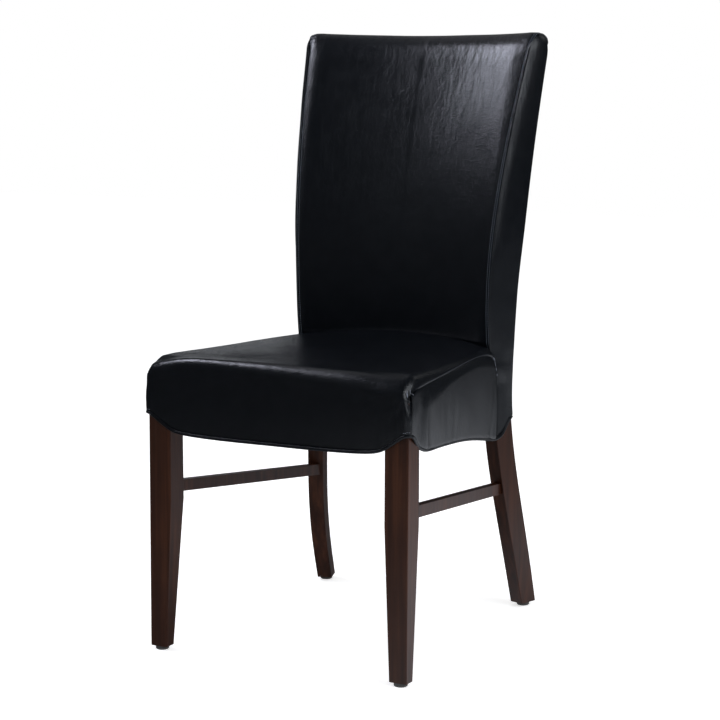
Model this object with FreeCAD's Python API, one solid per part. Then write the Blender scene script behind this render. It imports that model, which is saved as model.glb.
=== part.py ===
import FreeCAD, Part
import math
import os

# Leather dining chair: hardwood frame, webbed and foamed seat and back, sewn leather
# covers with a scalloped skirt. Millimetres, +Z up, the sitter faces -Y.
# While it is built, y = 0 is the front face of the front legs and x = 0 the middle.
# The finished chair is moved so that the origin is on the floor under the middle.

Vector = FreeCAD.Vector
os.makedirs("parts", exist_ok=True)

# Main sizes: over the front legs, the top of the seat frame, and the back where it leaves the seat
legSpread = 468.7
railTop = 445.0
backSeatY = 465.5
backHalfWidth = 205.0
backFootRise = 25.0
backHeight = 532.0
backFoot = railTop + backFootRise
backTop = backFoot + backHeight

# Fits, and the extra length that is cut away again
spare = 40.0
scribeReach = 10.0
glueGap = 0.15
coverGap = 0.3
seatGap = 0.6
leather = 1.8

# Glides under the legs
glideHeight = 6.5
glideRadius = 11.0
glideBevel = 1.2
nailRadius = 1.1
nailLength = 16.0
nailHeadRadius = 3.2
nailHeadHeight = 1.2
nailSeat = 2.0

# Front legs
frontLegWidth = 40.8
frontLegDepth = 37.1
frontFootWidth = 30.7
frontFootDepth = 21.5
frontLegRake = 5.0
taperHeight = 250.0
legEdge = 1.2

# Seat frame
railHeight = 60.0
railThickness = 22.0
railSetback = 3.0
sideRailSetback = 4.0
blockLeg = 66.0
blockHeight = 34.0
dowelRadius = 3.5
dowelLength = 38.0
sideDowelSpread = 40.0
crossDowelSpread = 16.0
screwRadius = 2.0
screwHeadRadius = 4.0
screwLength = 44.0
screwPlace = 43.0
screwInset = 2.0
screwStep = 6.0
counterbore = 14.0

# Rear legs, each one piece with its back post, as height, x and y of the centre line
postTurn = math.radians(18.0)
rearFootInset = 6.0
rearFootSweep = 67.5
rearKneeHeight = 220.0
rearKneeInset = 18.6
rearKneeSweep = 12.5
rearHockDrop = 105.0
rearHockInset = 27.0
rearHockTuck = 4.5
rearHockHeight = railTop - rearHockDrop
rearFoot = (backHalfWidth - rearFootInset, backSeatY + rearFootSweep)
rearKnee = (backHalfWidth - rearKneeInset, backSeatY + rearKneeSweep)
rearHock = (backHalfWidth - rearHockInset, backSeatY - rearHockTuck)
postFootWidth = 26.5
postSeatWidth = 30.0
postFootDepth = 36.6
postKneeDepth = 41.0
postSeatDepth = 37.0
postTopDepth = 27.0
postTopDrop = 14.0

# Side stretchers
stretcherHeight = 19.0
stretcherThickness = 15.2
stretcherInset = 17.95
stretcherFrontTop = 277.0
stretcherRearTop = 232.0
tenonThickness = 7.0
tenonHeight = 12.0
tenonLength = 13.0

# Upholstered back
backFlare = 23.5
backLean = 80.0
leanPower = 1.8
backThickness = 61.0
backThinning = 18.0
lumbarSwell = 20.5
lumbarPlace = 0.83
sideWadding = 2.5
topRoll = 10.0
rearRoll = 6.0
topFall = 9.0
topDip = 5.0
fallPower = 1.5
innerCoverTuck = 21.0
backRailHeight = 56.0
backRailSetback = 2.5
backDowelPlace = 0.28
lowerRailRise = 20.0
middleRailRise = 230.0
backStrapWidth = 60.0
backStrapPitch = 105.0
backStrapEnd = 8.0
strapThickness = 1.8
strapLift = 0.1
backFoamRise = 8.0

# Upholstered seat
seatOverhang = 4.65
seatTuck = 12.0
taperPower = 1.25
seatFront = -7.0
sidePanelFoot = 39.5
seatHalfWidth = legSpread / 2 + seatOverhang
seatRearHalf = backHalfWidth - seatTuck
seatRear = backSeatY - sidePanelFoot
seatRoll = 22.0
seatCorner = 8.0
shoulderRadius = 20.0
crownRise = 8.0
padFront = 39.0
padMiddle = 49.0
padRear = 29.0
crownPlace = 0.45
crownTuck = 14.0
coverTuck = 24.0
foamTuck = 20.0
coverEnd = 4.0
drawIn = 2.0
sideBulge = 1.5
cornerSeam = 4.0
seamCurve = 1.6
seatStrapWidth = 50.0
strapSlope = 3.0
lengthwiseStraps = 5
lengthwisePitch = 64.0
crosswiseStraps = 4
crosswiseFirst = 78.0
crosswisePitch = 90.0
dustCoverThickness = 0.8
clothInset = 5.0
clothTurn = 6.0
clothCut = 8.0

# Piping, the lower edge of the skirt and the seam of the seat's side panel. Each point is a distance
# and a drop below the top of the seat frame: the first row from the middle or the front of the edge,
# the second from the corner where it ends.
pipingRadius = 2.4
skirtBelow = 60.0
frontEdgeRows = ([(0, 81.0), (62, 81.2), (124, 80.5)], [(67, 78.0), (47, 72.5), (27, 59.0), (9, 46.5)])
sideEdgeRows = ([(2, 47.0), (20, 59.5), (42, 74.0), (72, 83.5), (130, 86.0), (184, 90.5), (232, 95.0)],
                [(181.5, 102.0), (129.5, 111.0), (79.5, 121.0), (47.5, 127.5), (28.5, 124.0), (14.5, 109.0),
                 (0.5, 93.0)])
rearEdgeRows = ([(0, 125.0), (60, 126.0), (118, 127.5)], [(57, 126.5), (40, 119.0), (26, 107.0), (13, 93.5)])
sideSeamRows = ([(4, -13.0), (40, -20.0), (140, -24.0)],
                [(187.5, -28.5), (105.5, -23.0), (56.5, -2.0), (38.5, 35.0)])


def placed(rows, length):
    """Outline as distance along the edge and height."""
    fromStart, fromEnd = rows
    points = fromStart + [(length - distance, drop) for distance, drop in fromEnd]
    return [(distance, railTop - drop) for distance, drop in points]


frontEdge = placed(frontEdgeRows, seatHalfWidth)
sideEdge = placed(sideEdgeRows, backSeatY)
rearEdge = placed(rearEdgeRows, backHalfWidth)
sideSeam = placed(sideSeamRows, backSeatY)
skirtFloor = min(z for _, z in rearEdge) - skirtBelow
sheetLow = skirtFloor + skirtBelow / 2
innerCoverBottom = backFoot - innerCoverTuck

tangent = Vector(math.cos(postTurn), -math.sin(postTurn), 0)
inward = Vector(math.sin(postTurn), math.cos(postTurn), 0)
railBottom = railTop - railHeight
railMiddle = railTop - railHeight / 2
coverFit = leather + coverGap
shapes = {}


def through(points, place):
    """Value at a place on the smooth curve through a few points."""
    total = 0.0
    for here, value in points:
        for other, _ in points:
            if other != here:
                value *= (place - other) / (here - other)
        total += value
    return total


def mirrored(shape):
    return shape.mirror(Vector(0, 0, 0), Vector(1, 0, 0))


def loftOf(wires, straight=False):
    return Part.makeLoft(wires, True, straight)


def joinedLofts(*groups):
    """Solid through several runs of sections, each run evenly spaced and ending where the next begins."""
    whole = loftOf(groups[0])
    for before, group in zip(groups, groups[1:]):
        whole = whole.fuse(loftOf([before[-1]] + group))
    return whole


def polygon(points):
    return Part.makePolygon(points + [points[0]])


def boxBetween(start, end, width, height):
    """Bar with a rectangular section, its middle line running from start to end."""
    along = end.sub(start)
    across = Vector(along.y, -along.x, 0).normalize()
    upright = across.cross(along).normalize()
    if upright.z < 0:
        upright = upright.negative()
    a = across.multiply(width / 2)
    b = upright.multiply(height / 2)
    corners = [start.add(a).add(b), start.sub(a).add(b), start.sub(a).sub(b), start.add(a).sub(b)]
    return Part.Face(polygon(corners)).extrude(along)


def rounded(points, share=0.45):
    """Path of straight runs joined by arcs that are as large as the runs allow."""
    edges = []
    last = points[0]
    for before, corner, after in zip(points, points[1:], points[2:]):
        back = before.sub(corner)
        ahead = after.sub(corner)
        reach = share * min(back.Length, ahead.Length)
        start = corner.add(back.normalize().multiply(reach))
        end = corner.add(ahead.normalize().multiply(reach))
        half = end.sub(start).Length / 2
        chordMiddle = start.add(end).multiply(0.5)
        toCorner = corner.sub(chordMiddle)
        rise = toCorner.Length
        radius = half * reach / rise
        sag = radius - math.sqrt(radius * radius - half * half)
        middle = chordMiddle.add(toCorner.normalize().multiply(sag))
        edges.append(Part.LineSegment(last, start).toShape())
        edges.append(Part.Arc(start, middle, end).toShape())
        last = end
    edges.append(Part.LineSegment(last, points[-1]).toShape())
    return edges


def shifted(outline, distance):
    """Open outline with every run moved sideways, downwards for a positive distance."""
    normals = []
    for (u0, z0), (u1, z1) in zip(outline, outline[1:]):
        length = math.hypot(u1 - u0, z1 - z0)
        normals.append(((z1 - z0) / length, -(u1 - u0) / length))
    moved = []
    for index, (u, z) in enumerate(outline):
        nu, nz = normals[max(index - 1, 0)]
        mu, mz = normals[min(index, len(normals) - 1)]
        stretch = distance / (1 + nu * mu + nz * mz)
        moved.append((u + (nu + mu) * stretch, z + (nz + mz) * stretch))
    return moved


def bothWays(outline):
    """Outline drawn from the middle outwards, repeated on the other side."""
    return [(-u, z) for u, z in reversed(outline[1:])] + outline


# Rear legs and the planes of the back

def rise(z):
    return max(0.0, (z - backFoot) / (backTop - backFoot))


def postWidth(z):
    return postFootWidth + (postSeatWidth - postFootWidth) * min(1.0, z / backFoot)


def postDepth(z):
    if z > backFoot:
        return postSeatDepth + (postTopDepth - postSeatDepth) * rise(z)
    depths = [(glideHeight, postFootDepth), (rearKneeHeight, postKneeDepth), (backFoot, postSeatDepth)]
    return through(depths, z)


def upperCorner(z):
    """Rear outer corner of the leather above the seat."""
    lift = rise(z)
    return Vector(backHalfWidth + backFlare * lift, backSeatY + backLean * lift ** leanPower, z)


def wadding(z):
    fade = (z - rearHockHeight) / (backFoot - rearHockHeight)
    return sideWadding * min(1.0, max(0.0, fade))


def cornerFromPost(z):
    """From the centre of the post to the rear outer corner of the leather."""
    aside = tangent * (postWidth(z) / 2 + coverFit + wadding(z))
    return aside.add(inward * (postDepth(z) / 2 + coverFit))


def postCentre(z):
    if z >= backFoot:
        return upperCorner(z).sub(cornerFromPost(z))
    seat = upperCorner(backFoot).sub(cornerFromPost(backFoot))
    heights = [glideHeight, rearKneeHeight, rearHockHeight, backFoot]
    x = through(list(zip(heights, [rearFoot[0], rearKnee[0], rearHock[0], seat.x])), z)
    y = through(list(zip(heights, [rearFoot[1], rearKnee[1], rearHock[1], seat.y])), z)
    return Vector(x, y, z)


def leatherCorner(z):
    if z >= backFoot:
        return upperCorner(z)
    return postCentre(z).add(cornerFromPost(z))


def thickness(z):
    """From the front of the padded back to its rear, square to the curve."""
    lift = rise(z)
    swell = lumbarSwell * math.sin(math.pi * min(1.0, lift) ** lumbarPlace)
    return backThickness - backThinning * lift + swell


def onBack(z, side, depth, inset=0.0, height=None):
    """Point of the back at a side from -1 to 1 and a depth in front of its rear face."""
    corner = leatherCorner(z)
    radius = corner.x / math.sin(postTurn)
    angle = side * (postTurn - inset / radius)
    centreY = corner.y - radius * math.cos(postTurn)
    reach = radius - depth
    level = z if height is None else height
    return Vector(reach * math.sin(angle), centreY + reach * math.cos(angle), level)


def bandSection(z, near, far, inset, left=-1.0, right=1.0):
    """Closed outline between two depths, curved like the back."""
    middle = (left + right) / 2
    nearPoints = [onBack(z, side, near, inset) for side in (left, middle, right)]
    farPoints = [onBack(z, side, far, inset) for side in (left, middle, right)]
    edges = [Part.Arc(*nearPoints).toShape(),
             Part.LineSegment(nearPoints[2], farPoints[2]).toShape(),
             Part.Arc(*reversed(farPoints)).toShape(),
             Part.LineSegment(farPoints[0], nearPoints[0]).toShape()]
    return Part.Wire(edges)


def steps(low, high, count):
    return [low + (high - low) * index / (count - 1) for index in range(count)]


# Wooden frame

def frontLeg():
    outer = legSpread / 2
    sections = []
    for z in (glideHeight, taperHeight, railTop):
        narrowing = max(0.0, (taperHeight - z) / (taperHeight - glideHeight))
        width = frontLegWidth + (frontFootWidth - frontLegWidth) * narrowing
        front = -frontLegRake * (railTop - z) / (railTop - glideHeight)
        rear = frontLegDepth + (frontFootDepth - frontLegRake - frontLegDepth) * narrowing
        corners = [(outer, front), (outer, rear), (outer - width, rear), (outer - width, front)]
        sections.append(polygon([Vector(x, y, z) for x, y in corners]))
    leg = loftOf(sections, True)
    return leg.makeFillet(legEdge, [edge for edge in leg.Edges if isUpright(edge)])


def isUpright(edge):
    ends = [vertex.Point for vertex in edge.Vertexes]
    return len(ends) == 2 and abs(ends[0].z - ends[1].z) > 0.7 * edge.Length


def rearLeg():
    top = backTop - postTopDrop
    sections = []
    shin = (glideHeight + rearKneeHeight) / 2
    for z in [glideHeight, shin, rearKneeHeight, rearHockHeight, backFoot] + steps(backFoot, top, 5)[1:]:
        centre = postCentre(z)
        aside = tangent * (postWidth(z) / 2)
        behind = inward * (postDepth(z) / 2)
        corners = [centre.add(aside).add(behind), centre.sub(aside).add(behind),
                   centre.sub(aside).sub(behind), centre.add(aside).sub(behind)]
        sections.append(polygon(corners))
    leg = loftOf(sections)
    return leg.makeFillet(legEdge, [edge for edge in leg.Edges if isUpright(edge)])


def stretcherLine(frontReach, rearReach):
    """Middle line of the side stretcher, run on into both legs."""
    rearHeight = stretcherRearTop - stretcherHeight / 2
    start = Vector(legSpread / 2 - stretcherInset, frontLegDepth, stretcherFrontTop - stretcherHeight / 2)
    end = postCentre(rearHeight).sub(inward * (postDepth(rearHeight) / 2))
    along = end.sub(start).normalize()
    return start.sub(along * frontReach), end.add(along * rearReach)


def railBetween(start, end, reach):
    along = end.sub(start).normalize()
    return boxBetween(start.sub(along * reach), end.add(along * reach), railThickness, railHeight)


def dowel(face, direction, radius=dowelRadius):
    direction = Vector(direction).normalize()
    start = face.sub(direction * (dowelLength / 2))
    return Part.makeCylinder(radius, dowelLength, start, direction)


def screw(head, direction, gap=0.0):
    """Countersunk screw with its head at a point, driven along a direction."""
    shank = Part.makeCylinder(screwRadius + gap, screwLength, head, direction)
    sink = screwHeadRadius - screwRadius
    return shank.fuse(Part.makeCone(screwHeadRadius + gap, screwRadius + gap, sink, head, direction))


frontLegRight = frontLeg()
rearLegRight = rearLeg()
legX = legSpread / 2 - frontLegWidth
frontRailY = railSetback + railThickness / 2
sideRailStart = Vector(legSpread / 2 - sideRailSetback - railThickness / 2, frontLegDepth, railMiddle)
postAtRail = postCentre(railMiddle)
sideRailEnd = postAtRail.sub(inward * (postDepth(railMiddle) / 2))
rearRailEnd = postAtRail.sub(tangent * (postWidth(railMiddle) / 2))

frontRailEnd = Vector(legX, frontRailY, railMiddle)
shapes["front_rail"] = railBetween(Vector(-legX, frontRailY, railMiddle), frontRailEnd, 0)
rearRail = railBetween(Vector(-rearRailEnd.x, rearRailEnd.y, railMiddle), rearRailEnd, scribeReach)
rearRail = rearRail.cut(rearLegRight).cut(mirrored(rearLegRight))
shapes["rear_rail"] = max(rearRail.Solids, key=lambda solid: solid.Volume)
sideRail = railBetween(sideRailStart, sideRailEnd, scribeReach).cut(frontLegRight).cut(rearLegRight)
sideRail = max(sideRail.Solids, key=lambda solid: solid.Volume)

# Side stretchers with their tenons
body = boxBetween(*stretcherLine(scribeReach, scribeReach), stretcherThickness, stretcherHeight)
body = body.cut(frontLegRight).cut(rearLegRight)
body = max(body.Solids, key=lambda solid: solid.Volume)
tenon = boxBetween(*stretcherLine(tenonLength, tenonLength), tenonThickness, tenonHeight)
mortise = boxBetween(*stretcherLine(tenonLength + glueGap, tenonLength + glueGap),
                     tenonThickness + 2 * glueGap, tenonHeight + 2 * glueGap)
stretcher = body.fuse(tenon).removeSplitter()
frontLegRight = frontLegRight.cut(mortise)
rearLegRight = rearLegRight.cut(mortise)

# Corner blocks in the four corners of the seat frame
sideAlong = sideRailEnd.sub(sideRailStart).normalize()
sideAcross = Vector(-sideAlong.y, sideAlong.x, 0)
insideStart = sideRailStart.add(sideAcross * (railThickness / 2))
frontInside = frontRailY + railThickness / 2
rearInside = rearRailEnd.y - railThickness / 2


def insideCorner(y):
    """Point where the inner faces of a side rail and a cross rail would meet."""
    return insideStart.add(sideAlong * ((y - insideStart.y) / sideAlong.y))


def cornerBlock(y, crossWay):
    corner = insideCorner(y)
    corner.z = railMiddle - blockHeight / 2
    points = [corner, corner.add(Vector(-blockLeg, 0, 0)), corner.add(sideAlong * (blockLeg * crossWay))]
    return Part.Face(polygon(points)).extrude(Vector(0, 0, blockHeight))


frontBlock = cornerBlock(frontInside, 1).cut(frontLegRight)
rearBlock = cornerBlock(rearInside, -1).cut(rearLegRight)

screws = []
screwHoles = []
for y, crossWay in ((frontInside, 1), (rearInside, -1)):
    corner = insideCorner(y)
    headDepth = blockLeg - screwPlace - screwInset
    intoCross = Vector(0, -crossWay, 0)
    intoSide = sideAcross.negative()
    crossHead = corner.add(Vector(-screwPlace, crossWay * headDepth, screwStep))
    sideHead = corner.add(sideAlong * (screwPlace * crossWay)).add(sideAcross * headDepth)
    sideHead.z -= screwStep
    for head, direction in ((crossHead, intoCross), (sideHead, intoSide)):
        screws.append(screw(head, direction))
        screwHoles.append(screw(head, direction, glueGap))
        outward = direction.negative()
        screwHoles.append(Part.makeCylinder(screwHeadRadius + glueGap, counterbore, head, outward))

# Dowels of the seat frame
dowelFaces = []
for offset in (-sideDowelSpread / 2, sideDowelSpread / 2):
    for face in (sideRailStart, sideRailEnd):
        dowelFaces.append((face.add(Vector(0, 0, offset)), sideAlong))
for offset in (-crossDowelSpread / 2, crossDowelSpread / 2):
    dowelFaces.append((Vector(legX, frontRailY, railMiddle + offset), Vector(1, 0, 0)))
    dowelFaces.append((rearRailEnd.add(Vector(0, 0, offset)), Vector(1, 0, 0)))
seatDowels = [dowel(face, direction) for face, direction in dowelFaces]
seatDowelHoles = [dowel(face, direction, dowelRadius + glueGap) for face, direction in dowelFaces]

# Rails of the back, curved like it
topRailBottom = backTop - postTopDrop - backRailHeight


def backRail(bottom):
    sections = []
    for z in steps(bottom, bottom + backRailHeight, 3):
        near = coverFit + backRailSetback
        far = coverFit + postDepth(z) - backRailSetback
        inset = coverFit + wadding(z) + postWidth(z)
        sections.append(bandSection(z, near, far, inset))
    return loftOf(sections)


backRails = {"back_lower_rail": backFoot + lowerRailRise, "back_middle_rail": backFoot + middleRailRise,
             "back_top_rail": topRailBottom}
backDowels = []
backDowelHoles = []
for bottom in backRails.values():
    for share in (backDowelPlace, 1 - backDowelPlace):
        z = bottom + share * backRailHeight
        inset = coverFit + wadding(z) + postWidth(z)
        face = onBack(z, 1, coverFit + postDepth(z) / 2, inset)
        backDowels.append(dowel(face, tangent))
        backDowelHoles.append(dowel(face, tangent, dowelRadius + glueGap))

# Glides, each nailed into its foot
frontFootX = legSpread / 2 - frontFootWidth / 2
frontFootY = frontFootDepth / 2 - frontLegRake


def glide(x, y):
    profile = [Vector(0, 0, 0), Vector(glideRadius - glideBevel, 0, 0), Vector(glideRadius, 0, glideBevel),
               Vector(glideRadius, 0, glideHeight), Vector(0, 0, glideHeight)]
    disc = Part.Face(polygon(profile)).revolve(Vector(0, 0, 0), Vector(0, 0, 1), 360)
    pocket = Part.makeCylinder(nailHeadRadius + glueGap, nailHeadHeight + glueGap, Vector(0, 0, nailSeat))
    bore = Part.makeCylinder(nailRadius + glueGap, glideHeight, Vector(0, 0, nailSeat))
    placed = disc.cut(pocket).cut(bore)
    placed.translate(Vector(x, y, 0))
    return placed


def nail(x, y, gap=0.0):
    head = Part.makeCylinder(nailHeadRadius, nailHeadHeight, Vector(x, y, nailSeat))
    shank = Part.makeCylinder(nailRadius + gap, nailLength + gap, Vector(x, y, nailSeat))
    return head.fuse(shank)


feet = {"front": (frontFootX, frontFootY), "rear": rearFoot}
nails = [nail(*place) for place in feet.values()]
nailHoles = [nail(*place, glueGap) for place in feet.values()]

# Every hole goes through whatever wood it meets
holes = Part.makeCompound(seatDowelHoles + screwHoles + backDowelHoles + nailHoles)
bothHoles = Part.makeCompound([holes, mirrored(holes)])
right = {"front_leg": frontLegRight, "rear_leg": rearLegRight, "side_rail": sideRail,
         "side_stretcher": stretcher, "corner_block_front": frontBlock, "corner_block_rear": rearBlock}
for name, shape in right.items():
    drilled = shape.cut(holes)
    shapes[name + "_right"] = drilled
    shapes[name + "_left"] = mirrored(drilled)
for name in ("front_rail", "rear_rail"):
    shapes[name] = shapes[name].cut(bothHoles)
for name, bottom in backRails.items():
    shapes[name] = backRail(bottom).cut(bothHoles)
for name, pieces in (("seat_rail_dowels", seatDowels), ("back_rail_dowels", backDowels),
                     ("corner_block_screws", screws), ("glide_nails", nails)):
    shapes[name] = Part.makeCompound(pieces + [mirrored(piece) for piece in pieces])
for place, (x, y) in feet.items():
    shapes["glide_" + place + "_right"] = glide(x, y)
    shapes["glide_" + place + "_left"] = mirrored(glide(x, y))

# Webbing of the seat: flat straps front to back, and straps woven over and under them


def sideRailX(y):
    return sideRailStart.x + (y - sideRailStart.y) * sideAlong.x / sideAlong.y


strapEnds = railThickness * 0.7
strapX = [lengthwisePitch * (index - (lengthwiseStraps - 1) / 2) for index in range(lengthwiseStraps)]
lengthwise = []
for x in strapX:
    start = Vector(x, frontInside - strapEnds, railTop + strapThickness / 2)
    end = Vector(x, rearInside + strapEnds, railTop + strapThickness / 2)
    lengthwise.append(boxBetween(start, end, seatStrapWidth, strapThickness))
shapes["seat_webbing_lengthwise"] = Part.makeCompound(lengthwise)

weaveRise = strapThickness + coverGap
crosswise = []
for row in range(crosswiseStraps):
    y = crosswiseFirst + crosswisePitch * row
    reach = sideRailX(y)
    flat = seatStrapWidth / 2 + strapSlope
    lower = [(-reach, 0)]
    for column, x in enumerate(strapX):
        level = weaveRise if (row + column) % 2 else -weaveRise
        lower += [(x - flat, level), (x + flat, level)]
    lower.append((reach, 0))
    upper = [(x, level + strapThickness) for x, level in reversed(lower)]
    ribbon = [Vector(x, y - seatStrapWidth / 2, railTop + level) for x, level in lower + upper]
    crosswise.append(Part.Face(polygon(ribbon)).extrude(Vector(0, seatStrapWidth, 0)))
shapes["seat_webbing_crosswise"] = Part.makeCompound(crosswise)

# Webbing of the back, three straps up the front of its rails
strapFoot = backFoot + lowerRailRise + backStrapEnd
strapHead = backTop - postTopDrop - backStrapEnd
strapsUp = []
for column in (-1, 0, 1):
    sections = []
    for z in steps(strapFoot, strapHead, 5):
        width = leatherCorner(z).x
        centre = column * backStrapPitch / width
        half = backStrapWidth / 2 / width
        near = coverFit + postDepth(z) - backRailSetback + strapLift
        sections.append(bandSection(z, near, near + strapThickness, 0, centre - half, centre + half))
    strapsUp.append(loftOf(sections))
shapes["back_webbing"] = Part.makeCompound(strapsUp)

# Foam of the back, rolled over at the top
foamTop = backTop - topDip - coverFit
foamRoll = topRoll - coverFit


def foamSection(z, setback):
    return bandSection(z, coverFit + postDepth(z) + coverGap, thickness(z) - coverFit - setback, coverFit)


upright = [foamSection(z, 0.0) for z in steps(backFoot + backFoamRise, foamTop - foamRoll, 7)]
bends = [math.radians(degrees) for degrees in (22, 44, 66)]
overTop = []
for bend in bends:
    overTop.append(foamSection(foamTop - foamRoll * (1 - math.sin(bend)), foamRoll * (1 - math.cos(bend))))
shapes["back_foam"] = joinedLofts(upright, overTop)


# Leather of the back

def crest(inside):
    """Path over the top of the back and down behind, as setback, height and share of the dip."""
    path = []
    roll = topRoll - inside
    for degrees in (25, 50, 70, 90):
        bend = math.radians(degrees)
        setback = topRoll - roll * math.cos(bend)
        path.append((setback, backTop - topRoll + roll * math.sin(bend), math.sin(bend)))
    depth = thickness(backTop)
    fallStart = topRoll
    fallEnd = depth - rearRoll
    for share in (0.3, 0.6, 0.85):
        setback = fallStart + (fallEnd - fallStart) * share
        path.append((setback, backTop - inside - topFall * share ** fallPower, 1.0))
    roll = rearRoll - inside
    for degrees in (65, 40, 20, 0):
        bend = math.radians(degrees)
        setback = fallEnd + roll * math.cos(bend)
        path.append((setback, backTop - topFall - rearRoll + roll * math.sin(bend), min(1.0, degrees / 40)))
    return path


def crestStart(inside):
    """Path up the front of the back, to where it starts to roll over."""
    return [(inside, z, 0.0) for z in steps(innerCoverBottom, backTop - topRoll, 8)]


def crestArc(setback, z, dip, turned):
    depth = thickness(z) - setback
    points = [onBack(z, side, depth, 0, z - topDip * dip * (1 - side * side)) for side in (-1, 0, 1)]
    if turned:
        points.reverse()
    return points


def sheetSections(outerPath, innerPath):
    sections = []
    for outer, inner in zip(outerPath, innerPath):
        front = crestArc(*outer, False)
        rear = crestArc(*inner, True)
        edges = [Part.Arc(*front).toShape(), Part.LineSegment(front[2], rear[0]).toShape(),
                 Part.Arc(*rear).toShape(), Part.LineSegment(rear[2], front[0]).toShape()]
        sections.append(Part.Wire(edges))
    return sections


upFront = sheetSections(crestStart(0.0), crestStart(leather))
overTop = sheetSections(crest(0.0), crest(leather))
shapes["back_inner_cover"] = joinedLofts(upFront, overTop)


def edgePrism(outline, place, direction, downTo):
    """Everything below an outline, as a block along a direction."""
    points = [place(u, z) for u, z in outline]
    edges = rounded(points)
    low = [place(outline[-1][0], downTo), place(outline[0][0], downTo)]
    edges += [Part.LineSegment(points[-1], low[0]).toShape(), Part.LineSegment(low[0], low[1]).toShape(),
              Part.LineSegment(low[1], points[0]).toShape()]
    return Part.Face(Part.Wire(edges)).extrude(direction)


def onSidePlane(y, z):
    return Vector(sidePlane, y, z)


def onCrossPlane(y0):
    return lambda x, z: Vector(x, y0, z)


def extended(outline, amount):
    """Outline with both ends run on level, past the corners of the skirt."""
    first, last = outline[0], outline[-1]
    return [(first[0] - amount, first[1])] + outline + [(last[0] + amount, last[1])]


sidePlane = seatRearHalf * 0.6
outwards = Vector(seatHalfWidth, 0, 0)
frontReach = Vector(0, cornerSeam + spare - seatFront, 0)
rearReach = Vector(0, spare * 4, 0)
sideTrim = edgePrism(extended(sideEdge, spare), onSidePlane, outwards, skirtFloor)
frontLine = extended(bothWays(frontEdge), spare)
rearLine = extended(bothWays(rearEdge), spare)
frontTrim = edgePrism(frontLine, onCrossPlane(seatFront - spare), frontReach, skirtFloor)
rearTrim = edgePrism(rearLine, onCrossPlane(backSeatY - spare), rearReach, skirtFloor)

# Outer panel of the back, from under the wrapped top down to the rear skirt
rearTop = backTop - topFall - rearRoll - coverGap
panelHeights = steps(sheetLow, backFoot, 4) + steps(backFoot, rearTop, 6)[1:]
outerPanel = loftOf([bandSection(z, 0.0, leather, 0.0) for z in panelHeights])
shapes["back_outer_panel"] = outerPanel.cut(rearTrim)


def seamY(z):
    """Front edge of the side panel of the back, where it meets the seat."""
    lastY, lastZ = sideSeam[-1]
    cornerY, cornerZ = sideSeam[-2]
    if z <= lastZ:
        return lastY
    if z < cornerZ:
        share = (z - lastZ) / (cornerZ - lastZ)
        return lastY + (cornerY - lastY) * share ** seamCurve
    return cornerY


def seatHalf(y):
    along = max(0.0, (y - seatFront) / (seatRear - seatFront))
    return seatHalfWidth - (seatHalfWidth - seatRearHalf) * along ** taperPower


def sideStrip(z):
    """Section of the side panel: a strip between the front seam and the rear corner."""
    rear = leatherCorner(z).sub(inward * coverFit)
    front = onBack(max(z, backFoot), 1, thickness(z) - coverFit, 0, z)
    lastZ = sideSeam[-1][1]
    cornerZ = sideSeam[-2][1]
    if z < cornerZ:
        blend = min(1.0, (cornerZ - z) / (cornerZ - lastZ))
        y = seamY(z) + coverGap
        low = Vector(seatHalf(y) - drawIn * 0.5, y, z)
        front = front.multiply(1 - blend).add(low.multiply(blend))
    along = rear.sub(front).normalize()
    thin = Vector(-along.y, along.x, 0).multiply(leather)
    return polygon([front, rear, rear.add(thin), front.add(thin)])


seamLow = sideSeam[-1][1]
seamHigh = sideSeam[-2][1]
stripTop = backTop + 2 * coverFit
stripHeights = [steps(sheetLow, seamLow, 4), steps(seamLow, seamHigh, 4)[1:],
                steps(seamHigh, stripTop, 9)[1:]]
sidePanel = joinedLofts(*[[sideStrip(z) for z in heights] for heights in stripHeights])
aboveCrest = []
for setback, z, _ in crestStart(coverFit)[-1:] + crest(coverFit):
    aboveCrest.append(onSidePlane(onBack(z, 1, thickness(z) - setback).y, z))
frontY, rearY = aboveCrest[0].y - spare, aboveCrest[-1].y + spare
aboveCrest = [onSidePlane(frontY, aboveCrest[0].z)] + aboveCrest + [onSidePlane(rearY, aboveCrest[-1].z)]
aboveCrest += [onSidePlane(rearY, backTop + spare), onSidePlane(frontY, backTop + spare)]
sidePanel = sidePanel.cut(Part.Face(polygon(aboveCrest)).extrude(outwards))
sidePanel = sidePanel.cut(sideTrim)
shapes["back_side_panel_right"] = sidePanel
shapes["back_side_panel_left"] = mirrored(sidePanel)


# Leather of the seat

def crownHeight(y):
    depth = seatRear + crownTuck
    return railTop + through([(0.0, padFront), (depth * crownPlace, padMiddle), (depth, padRear)], y)


def seatSection(y, sideInset, topInset, low):
    half = seatHalf(y) - sideInset
    crownTop = crownHeight(y) - topInset
    shoulder = crownTop - crownRise
    sideTop = shoulder - shoulderRadius
    corner = shoulderRadius * (1 - math.sqrt(0.5))

    def at(x, z):
        return Vector(x, y, z)

    points = [at(-half, sideTop), at(-half + corner, shoulder - corner),
              at(-half + shoulderRadius, shoulder)]
    crownMid = at(0, crownTop)
    mirroredPoints = [Vector(-point.x, y, point.z) for point in reversed(points)]
    lowLeft = at(-half + drawIn, low)
    sideMid = (sideTop + low) / 2
    edges = [Part.Arc(*points).toShape(),
             Part.Arc(points[2], crownMid, mirroredPoints[0]).toShape(),
             Part.Arc(*mirroredPoints).toShape(),
             Part.Arc(mirroredPoints[2], at(half + sideBulge, sideMid), at(half - drawIn, low)).toShape(),
             Part.LineSegment(at(half - drawIn, low), lowLeft).toShape(),
             Part.Arc(lowLeft, at(-half - sideBulge, sideMid), points[0]).toShape()]
    return Part.Wire(edges)


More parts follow.
